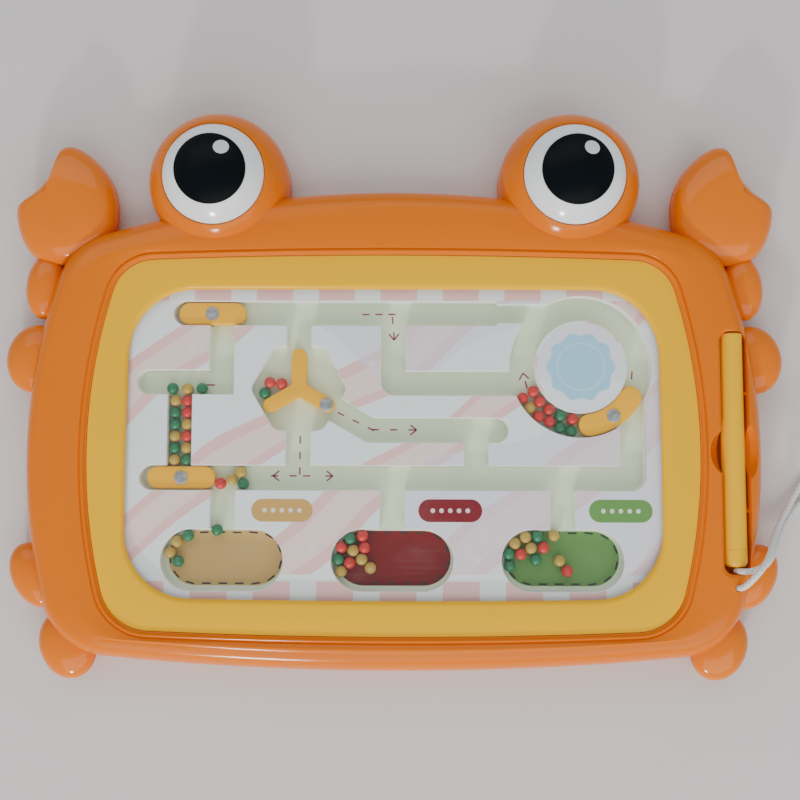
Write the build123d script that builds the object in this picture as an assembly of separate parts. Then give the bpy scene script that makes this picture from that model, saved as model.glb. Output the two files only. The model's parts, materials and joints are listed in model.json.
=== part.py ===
from build123d import *
import math
import os

# Magnetic maze board shaped like a crab, lying on its back with the window up.
# Units are millimetres. The origin is on the table under the middle of the board.
# +X points to the side with the pen, +Y to the eyes and +Z out of the window.
os.makedirs("parts", exist_ok=True)

# Heights above the table
parting_height = 11.0
deck_height = 27.0
bezel_drop = 1.5
bezel_lip = 2.4
pane_thickness = 2.0
floor_thickness = 1.6
seat_gap = 0.1

# Balls and the lanes that two balls fill side by side
ball_diameter = 5.9
lane_play = 0.5
lane_depth = 7.3
roll_gap = 0.2

# Window opening in the bezel: four arcs, each with the crown that it rises over its chord, and how far
# each layer reaches under it
window_top_half = 133.5
window_top_corner = 51.6
window_top_crown = 0.3
window_side_crown = 1.0
window_bottom_half = 134.4
window_bottom_corner = -103.3
window_bottom_crown = 1.6
window_radius = 34.0
pane_margin = 6.0
border_margin = 8.0
floor_margin = 15.5
pane_play = 0.3

# Bezel outline, by how far its corners lie from the window's
bezel_top_out = 4.1
bezel_top_up = 14.7
bezel_top_crown = 3.0
bezel_side_crown = 15.3
bezel_bottom_out = 5.5
bezel_bottom_down = 15.4
bezel_bottom_crown = 3.5
bezel_top_radius = 22.0
bezel_bottom_radius = 25.5
bezel_play = 0.35
bezel_edge_bevel = 0.9
bezel_inner_bevel = 1.6
bezel_flange_width = 2.0
bezel_flange_cover = 0.3
lip_slope = 2.0
bead_width = 2.2
bead_height = 1.0

# Case outline, by how far its corners lie from the bezel's
case_top_out = 35.4
case_top_up = 10.1
case_top_crown = 29.6
case_side_crown = 14.6
case_bottom_out = 35.8
case_bottom_down = 13.6
case_bottom_crown = 8.0
case_top_radius = 12.0
case_bottom_radius = 43.8
case_wall = 2.4
deck_rounding = 8.0
base_wall = 2.2
base_bevel = 4.0
cavity_chamfer = 4.0

# Maze lanes, by their centre lines and ends
top_lane_y = 40.0
top_lane_start = -112.5
top_lane_end = 52.8
neck_width = 9.4
left_lane_x = -87.6
stub_lane_y = 4.6
stub_lane_start = -130.6
column_x = -108.6
lower_lane_y = -43.9
lower_lane_start = -128.4
lower_lane_corner = 7.0
right_lane_x = 121.2
drop_lane_x = 42.1
middle_lane_y = 4.2
centre_lane_x = -0.1
centre_lane_corner = 7.0
exit_lane_y = -19.7
exit_lane_end = 58.3
ring_x = 95.3
ring_y = 12.8
ring_lane_radius = 29.9

# Sorting pockets below the lower lane
pocket_x_places = (-86.2, -0.4, 85.4)
pocket_y = -85.1
pocket_length_in_balls = 10
pocket_length_play = 2.5
pocket_width_in_balls = 5
pocket_width_play = 1.2

# Rotor and its six-sided chamber
rotor_x = -48.3
rotor_y = 1.5
rotor_reach = 20.6
rotor_arm_width = 7.7
rotor_thickness = 5.4
rotor_rest_angle = 90.0
rotor_arm_tilt = 30.0
chamber_clearance = 0.7
chamber_corner = 5.0
pin_radius = 1.8
pin_length = 4.0
pin_play = 0.06
rotor_slug_place = 16.3
pin_end_gap = 0.4

# Gates that the pen drags, and the steel slugs in them
gate_length = 34.4
gate_play = 0.45
gate_thickness = 5.4
top_gate_rest_gap = 2.2
lower_gate_rest_gap = 3.5
arc_gate_start = -80.8
arc_gate_sweep = 49.8
arc_slug_angle = -56.0
slug_radius = 3.5
slug_thickness = 2.8
slug_proud = 0.5
slug_play = 0.06
slider_lift = 0.25
ball_gap = 0.3

# Eyes
eye_x = 91.3
eye_up = 3.1
dome_radius = 36.6
dome_rise = 27.8
dome_equator = 14.0
eye_hole_radius = 26.0
eye_white_radius = 25.4
eye_white_flange = 3.0
eye_rim_height = 33.0
eye_seat_depth = 3.0
eye_bulge_radius = 30.3
pupil_radius = 17.5
pupil_thickness = 0.8
eye_post_radius = 20.0
eye_seat_gap = 0.3

# Claws
claw_in = 1.0
claw_up = 22.6
claw_width = 54.0
claw_height = 62.0
claw_rise = 14.5
claw_drop = 9.0

# Arms, legs and feet are half sunk eggs: place from the case's corners, half length, half width, tilt,
# rise and drop
arm_out = 9.2
arm_down = 21.0
arm_half_length = 17.1
arm_half_width = 9.8
arm_tilt = -84.0
upper_leg_out = 12.45
upper_leg_y = 17.4
upper_leg_half_length = 17.7
upper_leg_half_width = 14.6
upper_leg_tilt = 99.0
lower_leg_out = 7.6
lower_leg_up = 38.4
lower_leg_half_length = 17.5
lower_leg_half_width = 11.6
lower_leg_tilt = 62.0
foot_in = 9.9
foot_up = 3.4
foot_half_length = 17.7
foot_half_width = 13.8
foot_tilt = 68.0
limb_rise = 8.0
limb_drop = 9.0

# Pen and its trough
pen_out = 32.55
pen_top = 29.7
pen_length = 117.3
pen_radius = 5.75
pen_wall = 1.4
pen_tip_chamfer = 1.2
pen_axis_height = 21.6
pen_cap_length = 9.0
pen_cap_rounding = 3.0
pen_spigot_length = 6.0
pen_play = 0.1
pen_seat_gap = 0.3
magnet_radius = 3.6
magnet_length = 8.0
pen_lift = 45.0
trough_side_gap = 1.3
trough_top_gap = 0.7
trough_end_gap = 3.5
trough_wall = 1.6
trough_corner = 5.0
scoop_y = -30.3
scoop_half_width = 12.4
scoop_half_length = 14.0
scoop_depth = 10.0
nub_y_places = (-0.7, -59.7)
nub_width = 1.6
nub_reach = 0.8
nub_height = 3.0
nub_drop = 2.5

# Tether cord
cord_diameter = 3.0
cord_arc_share = 0.45
cord_hole_radius = 1.8
knot_radius = 3.4

# The cord's route from the knot under the deck to the pen's end, chosen by hand, from the middle of
# that end on the table
cord_route = [
    (-0.1, -10.0, 24.3), (-0.1, -10.0, 30.0), (2.9, -5.4, 35.0), (8.1, 1.2, 36.6),
    (13.3, 7.0, 32.2), (17.5, 11.2, 24.4), (22.1, 14.8, 16.4), (27.5, 20.4, 9.4),
    (34.3, 29.0, 4.6), (42.3, 40.7, 1.9), (49.9, 51.4, 1.5), (58.5, 62.0, 1.5),
    (69.3, 71.8, 1.5), (82.3, 78.0, 1.5), (96.7, 78.6, 1.5), (109.7, 72.2, 1.5),
    (117.3, 60.2, 1.5), (116.1, 46.0, 1.5), (107.7, 35.0, 1.5), (94.9, 30.8, 1.5),
    (81.7, 34.2, 1.5), (69.5, 39.2, 1.5), (57.5, 40.6, 1.5), (48.1, 36.8, 1.5),
    (41.1, 29.8, 1.9), (34.5, 22.8, 4.8), (27.9, 16.0, 10.4), (22.1, 10.0, 17.8),
    (17.1, 5.2, 25.2), (11.3, 1.0, 30.4), (4.9, -1.2, 31.0), (0.7, -1.8, 27.6),
    (-0.1, -1.8, 22.6),
]

# Screws and the bosses that they hold together
screw_radius = 1.5
screw_head_radius = 2.8
screw_head_height = 1.8
case_screw_length = 14.0
panel_screw_length = 8.6
screw_well_radius = 3.4
screw_well_depth = 4.0
case_boss_radius = 4.6
panel_boss_radius = 3.4
panel_screw_out = 12.0
pilot_play = 0.05
post_radius = 4.0

# Outlines that follow from the window
bezel_top_half = window_top_half + bezel_top_out
bezel_top_corner = window_top_corner + bezel_top_up
bezel_bottom_half = window_bottom_half + bezel_bottom_out
bezel_bottom_corner = window_bottom_corner - bezel_bottom_down
case_top_half = bezel_top_half + case_top_out
case_top_corner = bezel_top_corner + case_top_up
case_bottom_half = bezel_bottom_half + case_bottom_out
case_bottom_corner = bezel_bottom_corner - case_bottom_down
case_middle_half = (case_top_half + case_bottom_half) / 2

# Places of what the case carries
eye_y = case_top_corner + case_top_crown + eye_up
claw_x = case_top_half - claw_in
claw_y = case_top_corner + claw_up
arm_x = case_top_half + arm_out
arm_y = case_top_corner - arm_down
upper_leg_x = case_middle_half + upper_leg_out
lower_leg_x = case_bottom_half + lower_leg_out
lower_leg_y = case_bottom_corner + lower_leg_up
foot_x = case_bottom_half - foot_in
foot_y = case_bottom_corner + foot_up
pen_x = (bezel_top_half + bezel_bottom_half) / 2 + pen_out
pen_low = pen_top - pen_length
cord_points = [(pen_x + x, pen_low + y, z) for x, y, z in cord_route]

# Heights that follow from the ones above
bezel_top = deck_height - bezel_drop
pane_top = bezel_top - bezel_lip
pane_bottom = pane_top - pane_thickness
maze_top = pane_bottom - seat_gap
floor_top = maze_top - lane_depth
floor_bottom = floor_top - floor_thickness
deck_under = deck_height - case_wall
flange_top = deck_under - bezel_flange_cover

# Sizes that follow from the balls
ball_radius = ball_diameter / 2
lane_width = 2 * ball_diameter + lane_play
half_lane = lane_width / 2
gate_width = lane_width - 2 * gate_play
pocket_length = pocket_length_in_balls * ball_diameter + pocket_length_play
pocket_width = pocket_width_in_balls * ball_diameter + pocket_width_play

# Places of the screws and posts, as shares of the case's and the window's half sizes
case_screw_places_share = (
    (0.216, 0.680), (-0.216, 0.680), (0.865, 0.529), (-0.865, 0.529), (0.899, -0.847),
    (-0.899, -0.847), (0.342, -0.994), (-0.342, -0.994), (-0.979, -0.227),
)
post_places_share = ((0.8, 0.5), (-0.8, 0.5), (0.45, -0.2), (-0.45, -0.2), (0.8, -0.75), (-0.8, -0.75))
panel_screw_share = 0.45

# Claw outline: an end point and a middle point for each arc, as shares of its width and height,
# and its sections as shares of its rise and of its outline
claw_arcs_share = (
    (-0.491, -0.219), (-0.506, -0.016), (-0.470, 0.161), (-0.337, 0.348), (-0.028, 0.503),
    (0.031, 0.490), (0.063, 0.445), (0.207, 0.215), (0.454, 0.015), (0.489, -0.024),
    (0.494, -0.073), (0.448, -0.250), (0.278, -0.473), (-0.110, -0.440),
)
claw_top_share = ((0.0, 1.0), (0.45, 0.94), (0.80, 0.77), (1.0, 0.45))
claw_base_share = ((0.0, 1.0), (0.5, 0.95), (1.0, 0.7))
egg_base_share = 0.6

# Rows of balls in the column, from the gate up
column_rows = ("OG", "GO", "OR", "GO", "GR", "OR")
column_row_gap = 0.15

# Balls at rest elsewhere: colour and place from an anchor, in ball diameters
yellow_pocket_balls_share = (("G", -0.40, 2.01), ("O", -1.36, 1.51), ("O", -1.94, 0.56), ("G", -1.24, -0.19))
red_pocket_balls_share = (
    ("R", 0.04, 2.02), ("G", -1.01, 1.79), ("R", -1.75, 1.05), ("O", -0.76, 0.77), ("R", 0.23, 1.01),
    ("G", -2.04, 0.0), ("O", -0.01, 0.01), ("R", -1.06, -0.29), ("O", -1.78, -1.01),
)
green_pocket_balls_share = (
    ("O", 1.94, 2.10), ("G", 0.56, 2.02), ("O", -0.49, 1.94), ("O", -1.41, 1.40), ("R", 1.05, 1.06),
    ("O", -0.02, 1.02), ("G", -1.92, 0.51), ("R", -0.90, 0.48), ("G", 0.39, 0.01), ("O", 2.40, -0.06),
    ("G", -1.87, -0.51),
)
ring_balls_share = (
    ("R", 6.35, -0.53), ("R", 6.26, 0.53), ("R", 5.17, -0.49), ("O", 5.31, 0.51), ("R", 4.0, -0.53),
    ("R", 4.35, 0.49), ("G", 2.76, -0.53), ("R", 3.39, 0.32), ("R", 1.55, -0.52), ("G", 2.43, 0.44),
    ("G", 1.51, 0.51),
)
pushed_balls_share = (("R", 0.44, -0.517), ("O", 1.41, -0.169), ("G", 2.38, -0.517), ("O", 2.19, 0.48))
rotor_balls_share = (("R", -2.57, 0.55), ("R", -1.56, 0.46), ("G", -3.0, -0.37))
chute_ball_share = (-0.53, 2.49)
roller_spacing_share = 1.2
ball_rings_share = ((-0.92, 0.39), (-0.38, 0.925), (0.38, 0.925), (0.92, 0.39))
red_roller_share = (0.73, -0.71)
green_roller_share = (3.05, -0.93)


# How many flat facets stand for a round form: a board's long side and its corner, a dome, a limb,
# one of a claw's arcs, a gate's round end, a slug or the pen, a ball, a screw or a boss, and the cord
side_facets = 8
corner_facets = 8
dome_facets = 24
limb_facets = 16
claw_facets = 3
end_facets = 8
rod_facets = 12
ball_facets = 6
post_facets = 8
cord_facets = 6

# The turns, in degrees, at which a rounding is cut into facets
rounding_turns = (0, 30, 60, 90)
limb_turns = (0, 28, 52, 72)
dome_turns_share = (0, 0.33, 0.67, 1)
pupil_turns_share = (1, 0.7, 0.35)


def arc_circle(start, end, crown):
    # The circle of an arc that rises over its chord
    chord = math.dist(start, end)
    radius = (chord * chord / 4 + crown * crown) / (2 * crown)
    outward = ((start[1] - end[1]) / chord, (end[0] - start[0]) / chord)
    centre = [(start[i] + end[i]) / 2 - outward[i] * (radius - crown) for i in (0, 1)]
    return centre, radius


def meeting(first, second, corner):
    # The place near a corner where two circles meet
    apart = math.dist(first[0], second[0])
    along = (first[1] ** 2 - second[1] ** 2 + apart ** 2) / (2 * apart)
    across = math.sqrt(first[1] ** 2 - along ** 2)
    step = [(second[0][i] - first[0][i]) / apart for i in (0, 1)]
    places = [(first[0][0] + along * step[0] - side * across * step[1],
               first[0][1] + along * step[1] + side * across * step[0]) for side in (1, -1)]
    return min(places, key=lambda place: math.dist(place, corner))


def bearing(centre, place):
    # The direction of a place from a centre, in degrees
    return math.degrees(math.atan2(place[1] - centre[1], place[0] - centre[0]))


def arc_places(centre, radius, start, turn, facets):
    # The places along an arc from a bearing through a turn, without its last one
    bearings = [math.radians(start + turn * i / facets) for i in range(facets)]
    return [(centre[0] + radius * math.cos(b), centre[1] + radius * math.sin(b)) for b in bearings]


def board_places(top, low, side_crown, radii, grow):
    # A board's outline, moved outwards by grow: four long arcs, clockwise, whose corners are rounded by
    # the two radii. The top and low ends give half a width, a height and a crown.
    corners = [(-top[0], top[1]), (top[0], top[1]), (low[0], low[1]), (-low[0], low[1])]
    roundings = (radii[0], radii[0], radii[1], radii[1])
    circles = []
    for i, crown in enumerate((top[2], side_crown, low[2], side_crown)):
        circles.append(arc_circle(corners[i], corners[(i + 1) % 4], crown))
    centres = []
    for i, corner in enumerate(corners):
        first, second = [(centre, radius - roundings[i]) for centre, radius in (circles[i - 1], circles[i])]
        centres.append(meeting(first, second, corner))
    places = []
    for i, (centre, radius) in enumerate(circles):
        before = bearing(circles[i - 1][0], centres[i])
        start = bearing(centre, centres[i])
        end = bearing(centre, centres[(i + 1) % 4])
        places += arc_places(centres[i], roundings[i] + grow, before, -((before - start) % 360), corner_facets)
        places += arc_places(centre, radius + grow, start, -((start - end) % 360), side_facets)
    return places


def nearest(shape, place):
    # The corner of a flat shape that lies nearest to a place
    return shape.vertices().sort_by(lambda v: math.hypot(v.X - place[0], v.Y - place[1]))[0]


def case_places(grow):
    return board_places((case_top_half, case_top_corner, case_top_crown),
                        (case_bottom_half, case_bottom_corner, case_bottom_crown),
                        case_side_crown, (case_top_radius, case_bottom_radius), grow)


def bezel_places(grow):
    return board_places((bezel_top_half, bezel_top_corner, bezel_top_crown),
                        (bezel_bottom_half, bezel_bottom_corner, bezel_bottom_crown),
                        bezel_side_crown, (bezel_top_radius, bezel_bottom_radius), grow)


def window_places(grow):
    return board_places((window_top_half, window_top_corner, window_top_crown),
                        (window_bottom_half, window_bottom_corner, window_bottom_crown),
                        window_side_crown, (window_radius, window_radius), grow)


def flat(places):
    return make_face(Polyline(*places, close=True))


def prism(face, z_low, z_high):
    return Pos(0, 0, z_low) * extrude(face, z_high - z_low)


def banded(rings):
    # A solid with flat faces: a polygon at each end and bands of slanted faces between the rings
    faces = [Face(Wire.make_polygon(ring)) for ring in (rings[0], rings[-1])]
    for low, high in zip(rings, rings[1:]):
        for i in range(len(low)):
            faces.append(Face(Wire.make_polygon([low[i - 1], low[i], high[i], high[i - 1]])))
    return Solid(Shell(faces))


def stack(places_at, levels):
    # A solid through a board's outline at several heights, each moved outwards by its own amount
    return banded([[(x, y, z) for x, y in places_at(grow)] for z, grow in levels])


def bar(x_start, x_end, y_start, y_end):
    middle = Pos((x_start + x_end) / 2, (y_start + y_end) / 2)
    return middle * Rectangle(abs(x_end - x_start), abs(y_end - y_start))


def lane_along(x_round, x_square, y):
    # A lane along X whose first end is round
    reach = math.copysign(half_lane, x_square - x_round)
    cap = Pos(x_round + reach, y) * Circle(half_lane)
    return cap + bar(x_round + reach, x_square, y - half_lane, y + half_lane)


def lane_across(x, y_start, y_end):
    return bar(x - half_lane, x + half_lane, y_start, y_end)


def column(x, y, radius, z_low, z_high):
    return Pos(x, y, z_low) * extrude(Circle(radius), z_high - z_low)


def faceted(levels, facets):
    # A round solid cut into flat facets, from its radius at each height
    return banded([[(x, y, z) for x, y in arc_places((0, 0), radius, 0, 360, facets)] for z, radius in levels])


def post(x, y, radius, z_low, z_high, facets=post_facets):
    # A column with flat sides, for what is small or hidden
    return Pos(x, y, 0) * faceted([(z_low, radius), (z_high, radius)], facets)


def oval_places(half_x, half_y):
    return [(x * half_x, y * half_y) for x, y in arc_places((0, 0), 1, 0, 360, limb_facets)]


def oval(levels, half_x, half_y):
    # An oval solid cut into flat facets, from its share of the two half widths at each height
    return banded([[(x, y, z) for x, y in oval_places(share * half_x, share * half_y)] for z, share in levels])


def slot_face(length, width):
    # A bar along X whose round ends are cut into facets
    reach = (length - width) / 2
    places = arc_places((reach, 0), width / 2, -90, 180, end_facets) + [(reach, width / 2)]
    places += arc_places((-reach, 0), width / 2, 90, 180, end_facets) + [(-reach, -width / 2)]
    return flat(places)


def both_sides(shape):
    return [shape, mirror(shape, about=Plane.YZ)]


# Maze panel

def channel_face():
    # All lanes, chambers and pockets of the maze, seen from above
    ring = Pos(ring_x, ring_y) * (Circle(ring_lane_radius + half_lane) - Circle(ring_lane_radius - half_lane))
    chamber = RegularPolygon(rotor_reach + chamber_clearance, 6, major_radius=False)
    chamber = Pos(rotor_x, rotor_y) * fillet(chamber.vertices(), chamber_corner)
    exit_bend_x = rotor_x + (rotor_y - exit_lane_y) / math.tan(math.radians(rotor_arm_tilt))
    exit_slant = math.hypot(exit_bend_x - rotor_x, rotor_y - exit_lane_y)
    slanted = Pos(rotor_x, rotor_y) * Rot(0, 0, -rotor_arm_tilt) * bar(0, exit_slant, -half_lane, half_lane)
    neck_end = ring_x - ring_lane_radius / 2
    lanes = [
        chamber,
        slanted,
        Pos(exit_bend_x, exit_lane_y) * Circle(half_lane),
        lane_along(exit_lane_end, exit_bend_x, exit_lane_y),
        lane_along(top_lane_start, top_lane_end, top_lane_y),
        bar(top_lane_end, neck_end, top_lane_y - neck_width / 2, top_lane_y + neck_width / 2),
        lane_across(left_lane_x, stub_lane_y - half_lane, top_lane_y),
        lane_along(stub_lane_start, left_lane_x + half_lane, stub_lane_y),
        lane_across(column_x, lower_lane_y, stub_lane_y),
        lane_along(lower_lane_start, right_lane_x + half_lane, lower_lane_y),
        lane_across(right_lane_x, lower_lane_y - half_lane, ring_y - ring_lane_radius / 2),
        lane_across(drop_lane_x, lower_lane_y, exit_lane_y),
        bar(centre_lane_x - half_lane, ring_x - ring_lane_radius, middle_lane_y - half_lane,
            middle_lane_y + half_lane),
        lane_across(centre_lane_x, middle_lane_y, top_lane_y),
        lane_across(rotor_x, lower_lane_y, top_lane_y),
    ]
    for x in pocket_x_places:
        lanes.append(lane_across(x, pocket_y, lower_lane_y))
        lanes.append(Pos(x, pocket_y) * SlotOverall(pocket_length, pocket_width))
    region = ring
    for lane in lanes:
        region = region + lane
    lower_corner = nearest(region, (right_lane_x + half_lane, lower_lane_y - half_lane))
    region = fillet(lower_corner, lower_lane_corner)
    centre_corner = nearest(region, (centre_lane_x - half_lane, middle_lane_y - half_lane))
    return fillet(centre_corner, centre_lane_corner)


def maze_walls():
    # The walls between the lanes: the border, and each island by a place inside it
    walls = flat(window_places(border_margin)) - channel_face()
    places = {
        "maze_border": ((pocket_x_places[0] + pocket_x_places[1]) / 2, pocket_y),
        "island_left": ((left_lane_x + rotor_x) / 2, lower_lane_y + half_lane + ball_radius),
        "island_centre": ((rotor_x + centre_lane_x) / 2, top_lane_y - lane_width),
        "island_exit": (centre_lane_x, (lower_lane_y + exit_lane_y) / 2),
        "island_top": (drop_lane_x, (top_lane_y + middle_lane_y) / 2),
        "ring_island": (ring_x, ring_y),
    }
    solids = {}
    for name, place in places.items():
        for face in walls.faces():
            if face.is_inside(place):
                solids[name] = prism(face, floor_top, maze_top)
    return solids


def panel_screw_places():
    side_x = (window_top_half + window_bottom_half) / 2 + window_side_crown + panel_screw_out
    top_y = window_top_corner + window_top_crown + panel_screw_out
    low_y = window_bottom_corner - window_bottom_crown - panel_screw_out
    x = panel_screw_share * window_top_half
    middle_y = (window_top_corner + window_bottom_corner) / 2
    return [(x, top_y), (-x, top_y), (x, low_y), (-x, low_y), (side_x, middle_y), (-side_x, middle_y)]


def maze_floor():
    plate = prism(flat(window_places(floor_margin)), floor_bottom, floor_top)
    for x, y in panel_screw_places():
        plate = plate - post(x, y, screw_radius + seat_gap, floor_bottom, floor_top)
    return plate


# Window

def window_pane():
    return prism(flat(window_places(pane_margin)), pane_bottom, pane_top)


def bezel_frame():
    outer = stack(bezel_places, [(pane_top, 0), (bezel_top - bezel_edge_bevel, 0),
                                 (bezel_top, -bezel_edge_bevel)])
    window = stack(window_places, [(pane_top, 0), (bezel_top - bezel_inner_bevel, 0),
                                   (bezel_top, bezel_inner_bevel)])
    flange = stack(bezel_places, [(pane_bottom, bezel_flange_width), (flange_top, bezel_flange_width)])
    seat_hole = pane_margin + pane_play
    flange = flange - stack(window_places, [(pane_bottom, seat_hole), (flange_top, seat_hole)])
    frame = flange - stack(bezel_places, [(pane_top, 0), (flange_top, 0)]) + (outer - window)
    for x, y in panel_screw_places():
        frame = frame + post(x, y, panel_boss_radius, floor_top, pane_top)
    for x, y in panel_screw_places():
        frame = frame - post(x, y, screw_radius + pilot_play, floor_top, pane_top)
    return frame


# Case

def case_screw_places():
    return [(x * case_bottom_half, y * -case_bottom_corner) for x, y in case_screw_places_share]


def claw_places():
    # The claw's outline about its middle, a few places to each of its arcs
    points = [(x * claw_width, y * claw_height) for x, y in claw_arcs_share]
    places = []
    for i in range(0, len(points), 2):
        arc = ThreePointArc(points[i], points[i + 1], points[(i + 2) % len(points)])
        places += [arc @ (step / claw_facets) for step in range(claw_facets)]
    return places


def claw(height, sections_share):
    # A puffed claw on the parting plane, standing up or hanging down by its height
    rings = []
    for z_share, outline_share in sections_share:
        rings.append([(outline_share * place.X, outline_share * place.Y, z_share * height)
                      for place in claw_places()])
    return Pos(claw_x, claw_y, parting_height) * banded(rings)


def half_egg_share():
    # The height and the width of half an egg at each of its rings
    turns = [math.radians(turn) for turn in limb_turns]
    return [(math.sin(turn), math.cos(turn)) for turn in turns]


def egg(x, y, half_length, half_width, tilt, above):
    # Half an egg that stands on the parting plane, or the blunt half that hangs below it
    if above:
        levels = [(limb_rise * level, share) for level, share in half_egg_share()]
    else:
        levels = [(-limb_drop, egg_base_share), (0, 1)]
    return Pos(x, y, parting_height) * Rot(0, 0, tilt) * oval(levels, half_length, half_width)


def claws_and_limbs(above):
    shapes = [
        claw(claw_rise, claw_top_share) if above else claw(-claw_drop, claw_base_share),
        egg(arm_x, arm_y, arm_half_length, arm_half_width, arm_tilt, above),
        egg(upper_leg_x, upper_leg_y, upper_leg_half_length, upper_leg_half_width, upper_leg_tilt, above),
        egg(lower_leg_x, lower_leg_y, lower_leg_half_length, lower_leg_half_width, lower_leg_tilt, above),
        egg(foot_x, foot_y, foot_half_length, foot_half_width, foot_tilt, above),
    ]
    return [side for shape in shapes for side in both_sides(shape)]


def dome():
    # The round dome that carries an eye, cut flat at its rim
    end_turn = math.asin((eye_rim_height - dome_equator) / dome_rise)
    levels = [(parting_height, dome_radius)]
    for share in dome_turns_share:
        turn = share * end_turn
        levels.append((dome_equator + dome_rise * math.sin(turn), dome_radius * math.cos(turn)))
    return Pos(eye_x, eye_y, 0) * faceted(levels, dome_facets)


def dome_hollow():
    # The hollow under a dome with the hole and the seat for the eye above it
    seat_height = eye_rim_height - eye_seat_depth
    wall_radius = dome_radius - case_wall
    seat_low = seat_height - eye_seat_depth
    hollow = faceted([(parting_height, wall_radius), (dome_equator, wall_radius), (seat_low, eye_hole_radius)],
                     dome_facets)
    post_hole = post(0, 0, eye_post_radius, seat_low, seat_height, dome_facets)
    eye_hole = post(0, 0, eye_hole_radius, seat_height, eye_rim_height, dome_facets)
    return Pos(eye_x, eye_y, 0) * (hollow + post_hole + eye_hole)


def trough_face(grow=0):
    half_width = pen_radius + trough_side_gap + grow
    trough = bar(pen_x - half_width, pen_x + half_width, pen_low - trough_end_gap - grow,
                 pen_top + trough_top_gap + grow)
    return fillet(trough.vertices(), trough_corner + grow)


def front_shell():
    levels = [(parting_height, 0)]
    for turn in rounding_turns:
        rise = deck_rounding * math.sin(math.radians(turn))
        levels.append((deck_height - deck_rounding + rise, deck_rounding * (math.cos(math.radians(turn)) - 1)))
    shell = stack(case_places, levels)
    lip_grow = bezel_play + lip_slope
    bead_grow = lip_grow + bead_width
    half_bead = bead_height / 2
    bead_top = deck_height + bead_height
    shell = shell + stack(bezel_places, [(deck_under, bead_grow), (deck_height + half_bead, bead_grow),
                                         (bead_top, bead_grow - half_bead)])
    shell = shell - stack(bezel_places, [(parting_height, bezel_play), (deck_height - lip_slope, bezel_play),
                                         (deck_height, lip_grow), (deck_height + half_bead, lip_grow),
                                         (bead_top, lip_grow + half_bead)])
    for side in both_sides(dome()):
        shell = shell + side
    for lump in claws_and_limbs(True):
        shell = shell + lump

    shell = shell - stack(case_places, [(parting_height, -case_wall), (deck_under - cavity_chamfer, -case_wall),
                                        (deck_under, -case_wall - cavity_chamfer)])
    for side in both_sides(dome_hollow()):
        shell = shell - side

    trough_floor = pen_axis_height - pen_radius - pen_seat_gap
    scoop_top = Pos(pen_x, scoop_y) * flat(oval_places(scoop_half_width + trough_wall,
                                                       scoop_half_length + trough_wall))
    tub = prism(trough_face(trough_wall) + scoop_top, trough_floor - trough_wall, deck_under)
    shell = shell + tub
    shell = shell - prism(trough_face(), trough_floor, deck_height)
    scoop = oval([(-scoop_depth * level, share) for level, share in half_egg_share()],
                 scoop_half_width, scoop_half_length)
    shell = shell - Pos(pen_x, scoop_y, deck_height) * scoop
    wall_x = pen_x + pen_radius + trough_side_gap
    for y in nub_y_places:
        nub = bar(wall_x - nub_reach, wall_x + trough_wall / 2, y - nub_width / 2, y + nub_width / 2)
        shell = shell + prism(nub, deck_under - nub_drop - nub_height, deck_under - nub_drop)

    for x, y in case_screw_places():
        shell = shell + post(x, y, case_boss_radius, parting_height, deck_under)
    for x, y in case_screw_places():
        shell = shell - post(x, y, screw_radius + pilot_play, parting_height, deck_under)
    hole_x, hole_y, hole_z = cord_points[0]
    return shell - column(hole_x, hole_y, cord_hole_radius, parting_height, deck_height)


def back_shell():
    shell = stack(case_places, [(0, -base_bevel), (base_bevel, 0), (parting_height, 0)])
    foot = faceted([(0, dome_radius - base_bevel), (base_bevel, dome_radius), (parting_height, dome_radius)],
                   dome_facets)
    for side in both_sides(Pos(eye_x, eye_y, 0) * foot):
        shell = shell + side
    for lump in claws_and_limbs(False):
        shell = shell + lump
    shell = shell - stack(case_places, [(base_wall, -case_wall - cavity_chamfer),
                                        (base_wall + cavity_chamfer, -case_wall), (parting_height, -case_wall)])
    foot_hollow = post(eye_x, eye_y, dome_radius - base_bevel, base_wall, parting_height, dome_facets)
    for side in both_sides(foot_hollow):
        shell = shell - side
    for x, y in case_screw_places():
        shell = shell + post(x, y, case_boss_radius, 0, parting_height)
    for x_share, y_share in post_places_share:
        x = x_share * window_top_half
        y = (window_top_corner + window_bottom_corner) / 2 + y_share * (window_top_corner - window_bottom_corner) / 2
        shell = shell + post(x, y, post_radius, base_wall / 2, floor_bottom - seat_gap)
    for x, y in case_screw_places():
        shell = shell - post(x, y, screw_well_radius, 0, screw_well_depth)
        shell = shell - post(x, y, screw_radius + seat_gap, 0, parting_height)
    return shell


# Eyes

def bulge_centre():
    # The height of the bulge's centre
    return eye_rim_height - math.sqrt(eye_bulge_radius ** 2 - eye_white_radius ** 2)


def bulge_levels(radius, turns):
    return [(bulge_centre() + radius * math.cos(turn), radius * math.sin(turn)) for turn in turns]


def eye_white():
    # A bulging disc with a plug behind it and a flat top under the pupil
    seat_height = eye_rim_height - eye_seat_depth
    edge_turn = math.asin(eye_white_radius / eye_bulge_radius)
    top_turn = math.asin(pupil_radius / eye_bulge_radius)
    levels = bulge_levels(eye_bulge_radius, (edge_turn, (edge_turn + top_turn) / 2, top_turn))
    disc = faceted([(seat_height, eye_white_radius)] + levels, dome_facets)
    plug = post(0, 0, eye_post_radius - eye_seat_gap, seat_height - eye_white_flange, seat_height, dome_facets)
    return Pos(eye_x, eye_y, 0) * (disc + plug)


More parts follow.
